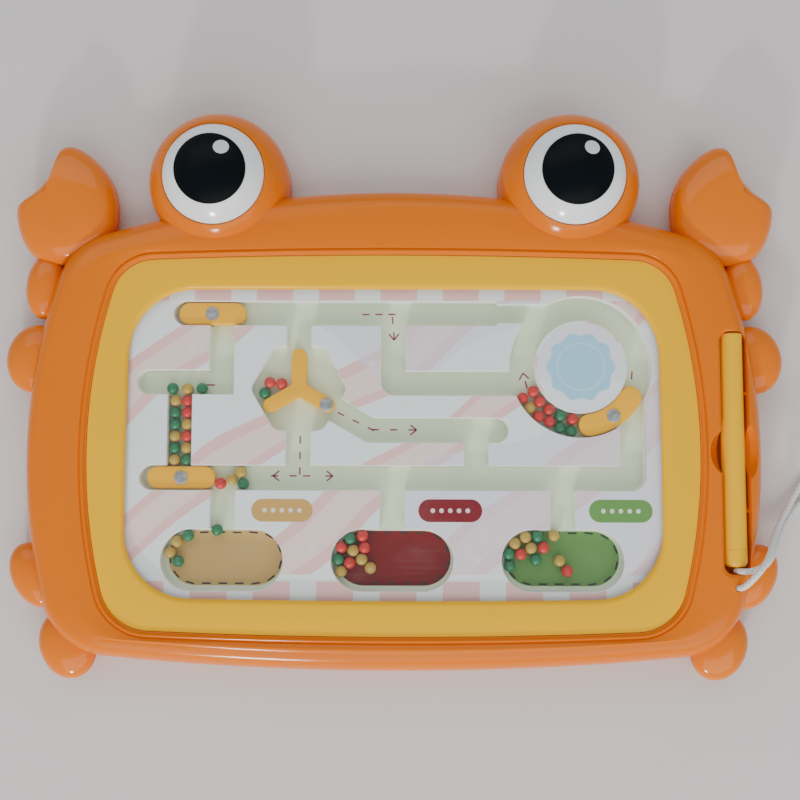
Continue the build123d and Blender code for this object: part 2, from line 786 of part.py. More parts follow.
def eye_pupil():
    # A cap on the white's flat top that goes on with its bulge
    low = bulge_centre() + math.sqrt(eye_bulge_radius ** 2 - pupil_radius ** 2) + seat_gap / 2
    outer = eye_bulge_radius + pupil_thickness
    edge_turn = math.asin(pupil_radius / outer)
    levels = bulge_levels(outer, [share * edge_turn for share in pupil_turns_share])
    return Pos(eye_x, eye_y, 0) * faceted([(low, pupil_radius)] + levels, dome_facets)


# Gates, rotor and slugs

slider_bottom = floor_top + slider_lift
slider_top = slider_bottom + gate_thickness
slug_bottom = slider_top + slug_proud - slug_thickness


def slug(x, y):
    return post(x, y, slug_radius, slug_bottom, slug_bottom + slug_thickness, rod_facets)


def slug_pocket(x, y):
    return post(x, y, slug_radius + slug_play, slug_bottom, slider_top, rod_facets)


def straight_gate(x_start, y, slug_x):
    body = prism(Pos(x_start + gate_length / 2, y) * slot_face(gate_length, gate_width), slider_bottom,
                 slider_top).solid()
    return body - slug_pocket(slug_x, y)


def top_gate():
    start = top_lane_start + top_gate_rest_gap
    return {
        "top_gate_slider": straight_gate(start, top_lane_y, start + gate_length / 2),
        "top_gate_slug": slug(start + gate_length / 2, top_lane_y),
    }


def lower_gate_end():
    return lower_lane_start + lower_gate_rest_gap + gate_length


def lower_gate():
    start = lower_gate_end() - gate_length
    return {
        "lower_gate_slider": straight_gate(start, lower_lane_y, start + gate_length / 2),
        "lower_gate_slug": slug(start + gate_length / 2, lower_lane_y),
    }


def on_ring(angle, radius):
    turn = math.radians(angle)
    return ring_x + radius * math.cos(turn), ring_y + radius * math.sin(turn)


def arc_gate():
    # The curved gate of the ring lane, with round ends
    centre = (ring_x, ring_y)
    half_width = gate_width / 2
    end = arc_gate_start + arc_gate_sweep
    places = arc_places(centre, ring_lane_radius + half_width, arc_gate_start, arc_gate_sweep, side_facets)
    places += arc_places(on_ring(end, ring_lane_radius), half_width, end, 180, end_facets)
    places += arc_places(centre, ring_lane_radius - half_width, end, -arc_gate_sweep, side_facets)
    tail = on_ring(arc_gate_start, ring_lane_radius)
    places += arc_places(tail, half_width, arc_gate_start + 180, 180, end_facets)
    body = prism(flat(places), slider_bottom, slider_top)
    x, y = on_ring(arc_slug_angle, ring_lane_radius)
    return {"arc_gate_slider": body - slug_pocket(x, y), "arc_gate_slug": slug(x, y)}


def rotor():
    # Three rounded arms on a blind hub bore, with the slug near the end of one arm
    arm_middle = (rotor_reach - rotor_arm_width / 2) / 2
    arm = Pos(arm_middle, 0) * slot_face(rotor_reach + rotor_arm_width / 2, rotor_arm_width)
    face = Rot(0, 0, rotor_rest_angle) * arm
    for turn in (1, 2):
        face = face + Rot(0, 0, rotor_rest_angle + turn * 360 / 3) * arm
    body = Pos(rotor_x, rotor_y, 0) * prism(face, slider_bottom, slider_bottom + rotor_thickness)
    slug_turn = math.radians(-rotor_arm_tilt)
    x = rotor_x + rotor_slug_place * math.cos(slug_turn)
    y = rotor_y + rotor_slug_place * math.sin(slug_turn)
    bore = column(rotor_x, rotor_y, pin_radius + pin_play, slider_bottom, floor_top + pin_length + pin_end_gap)
    pin = column(rotor_x, rotor_y, pin_radius, floor_top, floor_top + pin_length)
    return {"rotor_arms": body - bore - slug_pocket(x, y), "rotor_slug": slug(x, y), "rotor_pin": pin}


# Balls

def flat_ball(radius):
    return faceted([(height * radius, width * radius) for height, width in ball_rings_share], ball_facets)


ball_solid = flat_ball(ball_radius)


def ball(x, y, lift=0):
    return Pos(x, y, floor_top + ball_radius + lift) * ball_solid


def group(solids):
    return Compound(children=[solid.solid() for solid in solids])


def resting_balls():
    # Every ball that lies still, as a list of (colour, x, y)
    places = []
    for row, colours in enumerate(column_rows):
        y = lower_lane_y + gate_width / 2 + ball_gap + ball_radius + row * (ball_diameter + column_row_gap)
        for side, colour in zip((-1, 1), colours):
            places.append((colour, column_x + side * (ball_radius + seat_gap), y))
    top_y = places[-1][2] + ball_diameter + column_row_gap
    places.append(("O", column_x + ball_radius - seat_gap, top_y))
    cap_reach = (pocket_length - pocket_width) / 2
    pockets = (yellow_pocket_balls_share, red_pocket_balls_share, green_pocket_balls_share)
    for x, balls in zip(pocket_x_places, pockets):
        for colour, x_share, y_share in balls:
            places.append((colour, x - cap_reach + x_share * ball_diameter, pocket_y + y_share * ball_diameter))
    for colour, along_share, out_share in ring_balls_share:
        turn = arc_gate_start - math.degrees(along_share * ball_diameter / ring_lane_radius)
        x, y = on_ring(turn, ring_lane_radius + out_share * ball_diameter)
        places.append((colour, x, y))
    return places


def rolling_balls():
    # The balls that have a joint of their own, by node
    roll_y = stub_lane_y - half_lane + ball_radius + roll_gap
    row_x = ball_diameter + 2 * roll_gap
    chute_x, chute_y = (share * ball_diameter for share in chute_ball_share)
    red_x, red_y = (share * ball_diameter for share in red_roller_share)
    green_x, green_y = (share * ball_diameter for share in green_roller_share)
    cap_reach = (pocket_length - pocket_width) / 2
    return {
        "left_green_ball": (column_x + ball_radius - seat_gap - roller_spacing_share * row_x, roll_y),
        "right_green_ball": (column_x + ball_radius - seat_gap + roller_spacing_share * row_x, roll_y),
        "chute_green_ball": (pocket_x_places[0] + chute_x, pocket_y + chute_y),
        "pocket_yellow_ball": (pocket_x_places[1] - cap_reach + red_x, pocket_y + red_y),
        "pocket_red_ball": (pocket_x_places[2] - cap_reach + green_x, pocket_y + green_y),
    }


def coloured_balls(colour):
    return group([ball(x, y) for code, x, y in resting_balls() if code == colour])


def pushed_balls():
    # The balls that the lower gate pushes before it, by node
    by_colour = {"R": [], "O": [], "G": []}
    for colour, x_share, y_share in pushed_balls_share:
        x = lower_gate_end() + x_share * ball_diameter
        by_colour[colour].append(ball(x, lower_lane_y + y_share * ball_diameter, roll_gap))
    return {
        "pushed_red_ball": group(by_colour["R"]),
        "pushed_yellow_balls": group(by_colour["O"]),
        "pushed_green_ball": group(by_colour["G"]),
    }


def rotor_balls():
    # The balls between two arms of the rotor, by node
    by_colour = {"R": [], "G": []}
    for colour, x_share, y_share in rotor_balls_share:
        x = rotor_x + x_share * ball_diameter
        by_colour[colour].append(ball(x, rotor_y + y_share * ball_diameter, roll_gap))
    return {"rotor_red_balls": group(by_colour["R"]), "rotor_green_ball": group(by_colour["G"])}


# Pen

def pen_solid(levels):
    # A solid round the pen's axis, from its radius at each place along +Y
    return Pos(pen_x, 0, pen_axis_height) * Rot(-90, 0, 0) * faceted(levels, rod_facets)


def pen_barrel():
    end = pen_low + pen_cap_length
    bore = pen_radius - pen_wall
    body = pen_solid([(end, pen_radius), (pen_top - pen_tip_chamfer, pen_radius),
                      (pen_top, pen_radius - pen_tip_chamfer)])
    return body - pen_solid([(end, bore), (pen_top - pen_wall, bore)])


def pen_magnet():
    top = pen_top - pen_wall
    return pen_solid([(top - magnet_length, magnet_radius), (top, magnet_radius)])


def pen_cap():
    # The rounded end that the cord comes out of, with a spigot in the barrel
    low = pen_low
    seat = low + pen_cap_length
    spigot = pen_radius - pen_wall - pen_play
    levels = []
    for turn in rounding_turns[1:]:
        rise = pen_cap_rounding * (1 - math.cos(math.radians(turn)))
        levels.append((low + rise, pen_radius - pen_cap_rounding * (1 - math.sin(math.radians(turn)))))
    return pen_solid(levels + [(seat, pen_radius)]) + pen_solid([(seat, spigot), (seat + pen_spigot_length, spigot)])


# Cord

def cord_radii(points):
    # Each corner's arc is as large as its two runs allow
    radii = []
    for before, at, after in zip(points, points[1:], points[2:]):
        first = Vector(*at) - Vector(*before)
        second = Vector(*after) - Vector(*at)
        shorter = min(first.length, second.length)
        radii.append(cord_arc_share * shorter / math.tan(math.radians(first.get_angle(second)) / 2))
    return radii


def pen_cord():
    radii = cord_radii(cord_points)
    path = FilletPolyline(*cord_points, radius=radii)
    start = Plane(origin=cord_points[0], z_dir=Vector(*cord_points[1]) - Vector(*cord_points[0]))
    profile = RegularPolygon(cord_diameter / 2, cord_facets)
    tube = sweep(start * profile, path=path, transition=Transition.TRANSFORMED)
    print("cord length", round(path.length, 1), "radii", [round(radius, 1) for radius in radii])
    print("cord volume over section times length", round(tube.volume / (profile.area * path.length), 4))
    return tube


def cord_knot():
    # A knot pulled up under the deck
    x, y, top = cord_points[0]
    return Pos(x, y, top + ball_rings_share[0][0] * knot_radius) * flat_ball(knot_radius)


# Screws

def screw(x, y, seat, length):
    # A screw that points up, with its head under the seat
    return post(x, y, screw_radius, seat, seat + length) + post(x, y, screw_head_radius, seat - screw_head_height, seat)


def case_screws():
    return group([screw(x, y, screw_well_depth, case_screw_length) for x, y in case_screw_places()])


def panel_screws():
    return group([screw(x, y, floor_bottom, panel_screw_length) for x, y in panel_screw_places()])


nodes = {
    "front_shell": front_shell(),
    "back_shell": back_shell(),
    "bezel_frame": bezel_frame(),
    "window_pane": window_pane(),
    "maze_floor": maze_floor(),
    "case_screws": case_screws(),
    "panel_screws": panel_screws(),
    "eye_whites": group(both_sides(eye_white())),
    "eye_pupils": group(both_sides(eye_pupil())),
    "red_balls": coloured_balls("R"),
    "yellow_balls": coloured_balls("O"),
    "green_balls": coloured_balls("G"),
    "pen_barrel": pen_barrel(),
    "pen_magnet": pen_magnet(),
    "pen_cap": pen_cap(),
    "pen_cord": pen_cord(),
    "cord_knot": cord_knot(),
}
for pieces in (maze_walls(), top_gate(), lower_gate(), arc_gate(), rotor(), pushed_balls(), rotor_balls()):
    nodes.update(pieces)
for name, (x, y) in rolling_balls().items():
    nodes[name] = ball(x, y, roll_gap)

for name, shape in nodes.items():
    export_step(shape, "parts/" + name + ".step")
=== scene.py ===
import json
import math

import bmesh
import bpy
from mathutils import Matrix, Vector


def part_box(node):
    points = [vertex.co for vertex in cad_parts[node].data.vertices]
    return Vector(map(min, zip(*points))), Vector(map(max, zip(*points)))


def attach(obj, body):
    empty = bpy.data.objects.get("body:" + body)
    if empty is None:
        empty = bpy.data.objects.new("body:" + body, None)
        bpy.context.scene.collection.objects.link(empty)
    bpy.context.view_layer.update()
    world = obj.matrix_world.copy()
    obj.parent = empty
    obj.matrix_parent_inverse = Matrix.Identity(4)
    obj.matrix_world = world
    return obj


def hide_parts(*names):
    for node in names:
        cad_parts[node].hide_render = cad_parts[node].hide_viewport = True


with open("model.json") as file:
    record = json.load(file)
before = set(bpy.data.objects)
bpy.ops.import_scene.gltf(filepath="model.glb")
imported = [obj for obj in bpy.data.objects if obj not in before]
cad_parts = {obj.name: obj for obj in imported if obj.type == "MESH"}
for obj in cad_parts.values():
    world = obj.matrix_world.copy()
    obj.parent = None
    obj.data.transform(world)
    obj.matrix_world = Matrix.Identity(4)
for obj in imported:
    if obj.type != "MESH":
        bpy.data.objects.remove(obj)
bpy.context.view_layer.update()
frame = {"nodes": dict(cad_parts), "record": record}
cad = frame["nodes"]
mm = 0.001  # every size below is in millimetres
print("frame loaded:", len(cad), "parts")


def addObject(name, data, material=None):
    obj = bpy.data.objects.new(name, data)
    bpy.context.scene.collection.objects.link(obj)
    if material:
        data.materials.append(material)
    return obj


# camera, as the picture was taken: nearly straight down, from a little below the middle

viewSpec = {"place": (4.93, -36.25, 477.0), "towardTop": 4.0, "towardLeft": 0.2, "roll": 0.15, "lens": 40.5,
            "sensor": 36}


def makeCamera(spec):
    up, left, roll = (math.radians(spec[key]) for key in ("towardTop", "towardLeft", "roll"))
    ahead = Vector((-math.sin(left), math.sin(up), -math.cos(up) * math.cos(left))).normalized()
    right = ahead.cross(Vector((0, 1, 0))).normalized()
    top = right.cross(ahead)
    right, top = right * math.cos(roll) + top * math.sin(roll), top * math.cos(roll) - right * math.sin(roll)
    data = bpy.data.cameras.new("camera")
    data.lens = spec["lens"]
    data.sensor_width = spec["sensor"]
    camera = addObject("camera", data)
    turn = Matrix((right, top, -ahead)).transposed().to_4x4()
    camera.matrix_world = Matrix.Translation(Vector(spec["place"]) * mm) @ turn
    bpy.context.scene.camera = camera


makeCamera(viewSpec)
print("camera placed")


# lines of points

def around(centre, radius, degrees):
    t = math.radians(degrees)
    return centre[0] + radius * math.cos(t), centre[1] + radius * math.sin(t)


def arcPoints(centre, radius, start, turn, steps, last=0):
    # points along an arc in degrees; its end point comes only with last=1
    return [around(centre, radius, start + turn * i / steps) for i in range(steps + last)]


def circle(centre, radius, steps, z):
    return [(*p, z) for p in arcPoints(centre, radius, 0, 360, steps)]


def ovalPoints(x, y, halfX, halfY, z, tilt=0.0, steps=64):
    c, s = math.cos(math.radians(tilt)), math.sin(math.radians(tilt))
    points = []
    for i in range(steps):
        t = 2 * math.pi * i / steps
        u, v = halfX * math.cos(t), halfY * math.sin(t)
        points.append((x + u * c - v * s, y + u * s + v * c, z))
    return points


def slotPoints(x, y, length, width, z, steps=16):
    # a long shape with two round ends
    points = []
    for side, start in ((1, -90), (-1, 90)):
        end = (x + side * (length - width) / 2, y)
        points += [(*p, z) for p in arcPoints(end, width / 2, start, 180, steps, 1)]
    return points


def quarter(steps):
    return [math.radians(90 * i / steps) for i in range(steps + 1)]


# small tools for meshes

def smoothShade(mesh, degrees=35):
    mesh.shade_smooth()
    mesh.set_sharp_from_angle(angle=math.radians(degrees))


def meshFrom(name, points, faces, smooth=35):
    # a mesh from points in millimetres, with its faces turned outwards
    mesh = bpy.data.meshes.new(name)
    mesh.from_pydata([Vector(p) * mm for p in points], [], faces)
    bm = bmesh.new()
    bm.from_mesh(mesh)
    bmesh.ops.remove_doubles(bm, verts=bm.verts, dist=1e-6)
    bmesh.ops.recalc_face_normals(bm, faces=bm.faces)
    bm.to_mesh(mesh)
    bm.free()
    smoothShade(mesh, smooth)
    return mesh


def bridged(name, rings, closeUp=False, smooth=35):
    # rings of points joined one to the next, with the ends capped, or the last ring joined to the first
    count = len(rings[0])
    points = [p for ring in rings for p in ring]
    faces = []
    for i in range(len(rings) if closeUp else len(rings) - 1):
        a, b = i * count, (i + 1) % len(rings) * count
        for j in range(count):
            k = (j + 1) % count
            faces.append((a + j, a + k, b + k, b + j))
    if not closeUp:
        faces.append(tuple(range(count)))
        faces.append(tuple(reversed(range(len(points) - count, len(points)))))
    return meshFrom(name, points, faces, smooth)


def lathe(name, centre, profile, steps=96, smooth=35):
    # a closed round shape from (radius, height) steps, on an upright axis
    return bridged(name, [circle(centre, max(r, 0.02), steps, z) for r, z in profile], smooth=smooth)


def joined(name, meshes, smooth=35):
    bm = bmesh.new()
    for mesh in meshes:
        bm.from_mesh(mesh)
    out = bpy.data.meshes.new(name)
    bm.to_mesh(out)
    bm.free()
    smoothShade(out, smooth)
    return out


def paired(name, meshes, smooth=35):
    # shapes of one side together with their mirror images
    mirrored = []
    for mesh in meshes:
        copy = mesh.copy()
        copy.transform(Matrix.Scale(-1, 4, (1, 0, 0)))
        copy.flip_normals()
        mirrored.append(copy)
    return joined(name, meshes + mirrored, smooth)


def meshOf(obj):
    # the mesh that a curve or an object's modifiers give
    bpy.context.view_layer.update()
    return bpy.data.meshes.new_from_object(obj.evaluated_get(bpy.context.evaluated_depsgraph_get()))


def applied(obj):
    # the object's modifiers made part of its mesh
    mesh = meshOf(obj)
    obj.modifiers.clear()
    obj.data = mesh
    return obj


def carved(obj, cutters):
    for cutter in cutters:
        tool = addObject("cutter", cutter)
        modifier = obj.modifiers.new("carve", "BOOLEAN")
        modifier.object = tool
        modifier.operation = "DIFFERENCE"
        modifier.solver = "EXACT"
        applied(obj)
        bpy.data.objects.remove(tool)


def evenNormals(obj, degrees):
    # smooth shading that follows the large faces and keeps sharp edges
    smoothShade(obj.data, degrees)
    obj.modifiers.new("normals", "WEIGHTED_NORMAL").keep_sharp = True
    applied(obj)


def centresOf(node):
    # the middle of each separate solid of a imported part, in millimetres
    bm = bmesh.new()
    bm.from_mesh(cad[node].data)
    bmesh.ops.remove_doubles(bm, verts=bm.verts, dist=1e-6)
    seen, middles = set(), []
    for start in bm.verts:
        if start in seen:
            continue
        group, todo = [], [start]
        seen.add(start)
        while todo:
            vert = todo.pop()
            group.append(vert.co.copy())
            for edge in vert.link_edges:
                other = edge.other_vert(vert)
                if other not in seen:
                    seen.add(other)
                    todo.append(other)
        low = [min(p[i] for p in group) for i in range(3)]
        high = [max(p[i] for p in group) for i in range(3)]
        middles.append(tuple((a + b) / 2 / mm for a, b in zip(low, high)))
    bm.free()
    return middles


def dress(piece, slot, *nodes, body="board"):
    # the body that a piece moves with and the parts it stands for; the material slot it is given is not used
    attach(piece, body)
    if nodes:
        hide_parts(*nodes)


def addPiece(name, mesh, material, slot, *nodes, body="board"):
    dress(addObject(name, mesh, material), slot, *nodes, body=body)


def paintNode(material, *nodes):
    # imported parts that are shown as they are, in a new material
    for node in nodes:
        cad[node].data.materials.clear()
        cad[node].data.materials.append(material)


# tools for node trees

class Nodes:
    # short calls for making and joining nodes in one tree
    def __init__(self, tree):
        self.tree = tree

    def give(self, node, values):
        # each socket, by name or number, gets a value or another node's output
        for key, value in values.items():
            if isinstance(key, int):
                target = node.inputs[key]
            else:
                target = next(s for s in node.inputs if s.name == key and s.enabled)
            if isinstance(value, bpy.types.NodeSocket):
                self.tree.links.new(value, target)
            else:
                target.default_value = value

    def node(self, kind, values=None, **settings):
        made = self.tree.nodes.new(kind)
        for key, value in settings.items():
            setattr(made, key, value)
        self.give(made, values or {})
        return made

    def math(self, operation, a, b=0.0, clamp=False):
        return self.node("ShaderNodeMath", {0: a, 1: b}, operation=operation, use_clamp=clamp).outputs[0]

    def add(self, a, b, clamp=False):
        return self.math("ADD", a, b, clamp)

    def times(self, a, b):
        return self.math("MULTIPLY", a, b)

    def largest(self, values):
        total = values[0]
        for value in values[1:]:
            total = self.math("MAXIMUM", total, value)
        return total

    def mix(self, share, a, b, how="MIX"):
        return self.node("ShaderNodeMix", {0: share, 6: a, 7: b}, data_type="RGBA", blend_type=how).outputs[2]

    def step(self, value, low, high):
        # 0 below low, 1 above high, smooth between
        return self.node("ShaderNodeMapRange", {"Value": value, "From Min": low, "From Max": high},
                         interpolation_type="SMOOTHSTEP").outputs[0]

    def fall(self, value, low, high):
        # 1 below low, 0 above high
        return self.math("SUBTRACT", 1.0, self.step(value, low, high))

    def place(self):
        return self.node("ShaderNodeTexCoord").outputs["Object"]

    def parts(self, vector):
        return self.node("ShaderNodeSeparateXYZ", {0: vector}).outputs

    def away(self, parts, x, y):
        # the steps in x and y from a point of the plan, and the distance to it
        dx, dy = self.math("SUBTRACT", parts[0], x * mm), self.math("SUBTRACT", parts[1], y * mm)
        return dx, dy, self.math("SQRT", self.add(self.times(dx, dx), self.times(dy, dy)))

    def noise(self, vector, scale, detail=2.0, roughness=0.5, output="Fac"):
        return self.node("ShaderNodeTexNoise", {"Vector": vector, "Scale": scale, "Detail": detail,
                                                "Roughness": roughness}).outputs[output]

    def relief(self, height, strength, distance=0.0004):
        return self.node("ShaderNodeBump", {"Strength": strength, "Distance": distance,
                                            "Height": height}).outputs[0]

    def group(self, tree, values):
        return self.node("ShaderNodeGroup", values, node_tree=tree).outputs


def colour(rgb, factor=1.0):
    return (*[min(1.0, c * factor) for c in rgb], 1.0)


def makeGroup(name, inputs, outputs, build):
    # a shader group with named inputs and outputs; colours are the inputs with a tuple and the output Color
    tree = bpy.data.node_groups.new(name, "ShaderNodeTree")
    for label, value in inputs.items():
        kind = "NodeSocketColor" if isinstance(value, tuple) else "NodeSocketFloat"
        tree.interface.new_socket(label, in_out="INPUT", socket_type=kind).default_value = value
    for label in outputs:
        kind = "NodeSocketColor" if label == "Color" else "NodeSocketFloat"
        tree.interface.new_socket(label, in_out="OUTPUT", socket_type=kind)
    s = Nodes(tree)
    given = s.node("NodeGroupInput").outputs
    s.give(s.node("NodeGroupOutput"), build(s, given))
    return tree


def buildSkin(s, given):
    # moulded plastic: slow colour drift, a fine grain and uneven gloss
    place = s.place()
    slow, fine = s.noise(place, 14.0, 3.0), s.noise(place, given["Grain Scale"], 3.0)
    shift = s.times(s.math("SUBTRACT", slow, 0.5), given["Drift"])
    tinted = s.mix(1.0, given["Color"], given["Low Tint"], "MULTIPLY")
    uneven = s.times(s.math("SUBTRACT", fine, 0.5), 0.10)
    return {"Color": s.mix(s.add(0.5, shift, True), tinted, given["Color"]),
            "Roughness": s.add(given["Roughness"], uneven, True),
            "Height": s.add(s.times(s.noise(place, 60.0, 1.0), 0.7), s.times(fine, 0.3))}


def buildMarks(s, given):
    # hairline scratches and finger marks that only change the gloss
    place = s.place()
    lines = []
    for turn in (0.5, 2.1):
        turned = s.node("ShaderNodeMapping", {"Vector": place, "Rotation": (0.3, 0.2, turn),
                                              "Scale": (30.0, 700.0, 300.0)}).outputs[0]
        lines.append(s.step(s.noise(turned, 1.0, 1.0), 0.69, 0.74))
    smear = s.step(s.noise(place, 45.0, 4.0, 0.6), 0.52, 0.7)
    total = s.add(s.times(s.largest(lines), 0.6), s.times(smear, 0.4), True)
    return {"Mask": s.times(total, given["Amount"])}


mouldedSkin = makeGroup("mouldedSkin", {
    "Color": colour((0.8, 0.8, 0.8)), "Low Tint": colour((0.85, 0.8, 0.75)), "Drift": 0.8, "Roughness": 0.25,
    "Grain Scale": 900.0}, ("Color", "Roughness", "Height"), buildSkin)
handlingMarks = makeGroup("handlingMarks", {"Amount": 0.3}, ("Mask",), buildMarks)


def newMaterial(name):
    material = bpy.data.materials.new(name)
    material.use_nodes = True
    shader = next(n for n in material.node_tree.nodes if n.type == "BSDF_PRINCIPLED")
    return material, Nodes(material.node_tree), shader


def plastic(name, base, roughness, lowTint, marks, drift=0.8, bump=0.06, specular=0.5):
    material, s, shader = newMaterial(name)
    skin = s.group(mouldedSkin, {"Color": colour(base), "Low Tint": colour(lowTint), "Drift": drift,
                                 "Roughness": roughness})
    worn = s.group(handlingMarks, {"Amount": marks})["Mask"]
    s.give(shader, {"Base Color": skin["Color"], "Roughness": s.add(skin["Roughness"], worn, True),
                    "Normal": s.relief(skin["Height"], bump), "Specular IOR Level": specular})
    return material


def ink(name, base, roughness=0.35):
    return plastic(name, base, roughness, (0.93, 0.93, 0.93), 0.1, drift=0.5, specular=0.2)


orangePlastic = plastic("orangePlastic", (0.84, 0.195, 0.0), 0.15, (0.93, 0.84, 0.7), 0.05, bump=0.03,
                        specular=0.22)
limbPlastic = plastic("limbPlastic", (0.87, 0.205, 0.0), 0.10, (0.94, 0.87, 0.7), 0.03, bump=0.02,
                      specular=0.32)
yellowPlastic = plastic("yellowPlastic", (1.0, 0.53, 0.0), 0.18, (0.98, 0.95, 0.8), 0.04, specular=0.12)
amberPlastic = plastic("amberPlastic", (1.0, 0.50, 0.0), 0.24, (0.97, 0.93, 0.8), 0.05, specular=0.25)
penPlastic = plastic("penPlastic", (1.0, 0.54, 0.0), 0.16, (0.98, 0.95, 0.8), 0.04, specular=0.3)
eyeWhite = plastic("eyeWhite", (0.92, 0.97, 0.97), 0.14, (0.98, 0.98, 0.98), 0.05)
print("plastics made")


# the floor under the board, and the light

studioSpec = {
    "floorHalf": 3000.0, "floorColour": (0.74, 0.70, 0.68), "floorRoughness": 0.85,
    "sky": (0.93, 0.96, 1.0), "skyStrength": 0.55,
    "lamps": {"front": ((250, -1250, 1150), (2400, 1200), 18.0, (1.0, 0.98, 0.95)),
              "back": ((-300, 1300, 1250), (2200, 1100), 9.0, (0.93, 0.97, 1.0)),
              "window": ((-330, -1450, 520), (170, 75), 12.0, (1.0, 1.0, 0.98))}}


def makeStudio(spec):
    half = spec["floorHalf"]
    mesh = meshFrom("floor", [(-half, -half, 0), (half, -half, 0), (half, half, 0), (-half, half, 0)],
                    [(0, 1, 2, 3)])
    if mesh.polygons[0].normal.z < 0:
        mesh.flip_normals()
    material, s, shader = newMaterial("paleFloor")
    base = spec["floorColour"]
    s.give(shader, {"Base Color": s.mix(s.noise(s.place(), 6.0, 3.0), colour(base, 0.97), colour(base)),
                    "Roughness": spec["floorRoughness"]})
    addObject("floor", mesh, material)
    world = bpy.data.worlds.new("studio")
    world.use_nodes = True
    sky = next(n for n in world.node_tree.nodes if n.type == "BACKGROUND")
    sky.inputs["Color"].default_value = colour(spec["sky"])
    sky.inputs["Strength"].default_value = spec["skyStrength"]
    bpy.context.scene.world = world
    for name, (place, size, power, tint) in spec["lamps"].items():
        data = bpy.data.lights.new(name, "AREA")
        data.shape = "RECTANGLE"
        data.size, data.size_y = size[0] * mm, size[1] * mm
        data.energy = power
        data.color = tint
        lamp = addObject(name, data)
        lamp.location = Vector(place) * mm
        lamp.rotation_euler = Vector(place).to_track_quat("Z", "Y").to_euler()


makeStudio(studioSpec)
print("studio lit")


# the cord: up out of the deck, over the side, round on the floor and back up to the pen's end

cordSpec = {
    "diameter": 3.0, "sides": 14, "plait": 2.6, "crossing": 3.0,
    "route": [
        (171.2, -97.6, 24.3), (171.2, -97.6, 30.0), (174.2, -93.0, 35.0), (179.4, -86.4, 36.6),
        (184.6, -80.6, 32.2), (188.8, -76.4, 24.4), (193.4, -72.8, 16.4), (198.8, -67.2, 9.4),
        (205.6, -58.6, 4.6), (213.6, -46.9, 1.9), (221.2, -36.2, 1.5), (229.8, -25.6, 1.5),
        (240.6, -15.8, 1.5), (253.6, -9.6, 1.5), (268.0, -9.0, 1.5), (281.0, -15.4, 1.5),
        (288.4, -27.4, 1.5), (287.3, -41.6, 1.5), (279.0, -52.6, 1.5), (266.2, -56.8, 1.5),
        (253.0, -53.4, 1.5), (240.8, -48.4, 1.5), (228.8, -47.0, 1.5), (219.4, -50.8, 1.5),
        (212.4, -57.8, 1.9), (205.8, -64.8, 4.8), (199.2, -71.6, 10.4), (193.4, -77.6, 17.8),
        (188.4, -82.4, 25.2), (182.6, -86.6, 30.4), (176.2, -88.8, 31.0), (172.0, -89.4, 27.6),
        (171.2, -89.4, 22.6),
    ],
}


def addLine(data, kind, points):
    # one more line of a curve, through points in millimetres
    spline = data.splines.new(kind)
    spline.points.add(len(points) - 1)
    for point, place in zip(spline.points, points):
        point.co = (*(Vector(place) * mm), 1)
    return spline


def cordLine(route):
    # the smooth line through the route, read back as points in metres
    data = bpy.data.curves.new("cordLine", "CURVE")
    data.dimensions = "3D"
    spline = addLine(data, "NURBS", route)
    spline.order_u = 3
    spline.use_endpoint_u = True
    spline.resolution_u = 8
    line = addObject("cordLine", data)
    points = [v.co.copy() for v in meshOf(line).vertices]
    bpy.data.objects.remove(line)
    return points


def tubeAlong(name, points, radius, sides, pitch):
    # a tube with its own UV map, along in pitches and once round; also gives the length of its middle line
    mesh = bpy.data.meshes.new(name)
    bm = bmesh.new()
    uv = bm.loops.layers.uv.new("UVMap")
    side, run, rings, marks = None, 0.0, [], []
    for i, point in enumerate(points):
        ahead = (points[min(i + 1, len(points) - 1)] - points[max(i - 1, 0)]).normalized()
        if side is None:
            side = ahead.orthogonal().normalized()
        side = (side - ahead * side.dot(ahead)).normalized()
        up = ahead.cross(side)
        if i:
            run += (point - points[i - 1]).length
        rings.append([bm.verts.new(point + (side * math.cos(t) + up * math.sin(t)) * radius)
                      for t in (2 * math.pi * j / sides for j in range(sides))])
        marks.append(run / pitch)
    for i in range(len(rings) - 1):
        for j in range(sides):
            k = (j + 1) % sides
            face = bm.faces.new((rings[i][j], rings[i][k], rings[i + 1][k], rings[i + 1][j]))
            for loop, (row, turn) in zip(face.loops, ((i, j), (i, j + 1), (i + 1, j + 1), (i + 1, j))):
                loop[uv].uv = (marks[row], turn / sides)
    bm.faces.new(list(reversed(rings[0])))
    bm.faces.new(rings[-1])
    bmesh.ops.recalc_face_normals(bm, faces=bm.faces)
    bm.to_mesh(mesh)
    bm.free()
    smoothShade(mesh, 60)
    return mesh, run


def cordMaterial(spec):
    # plaited white yarn: two crossing sets of diagonal strands, with painted shade in the grooves between
    # them
    material, s, shader = newMaterial("whiteCord")
    parts = s.parts(s.node("ShaderNodeUVMap", uv_map="UVMap").outputs[0])
    humps = []
    for lean in (-1, 1):
        phase = s.add(parts[0], s.times(parts[1], lean * spec["crossing"]))
        humps.append(s.math("ABSOLUTE", s.math("SINE", s.times(phase, math.pi))))
    strands = s.largest(humps)
    fluff = s.noise(s.place(), 2200.0, 3.0)
    # the colour gets deeper between the strands and lighter on their tops: painted shade in the grooves
    s.give(shader, {"Base Color": s.mix(strands, colour((0.55, 0.55, 0.53)), colour((0.86, 0.87, 0.85))),
                    "Normal": s.relief(s.add(s.times(strands, 0.8), s.times(fluff, 0.2)), 0.8, 0.0003),
                    "Roughness": 0.8, "Sheen Weight": 0.3})
    return material


def makeCord(spec):
    points = cordLine(spec["route"])
    mesh, length = tubeAlong("penCord", points, spec["diameter"] / 2 * mm, spec["sides"], spec["plait"] * mm)
    material = cordMaterial(spec)
    cord = addObject("penCord", mesh, material)
    dress(cord, "white_cord", "pen_cord")
    paintNode(material, "cord_knot")
    print("cord made,", round(length / mm, 1), "mm")


makeCord(cordSpec)


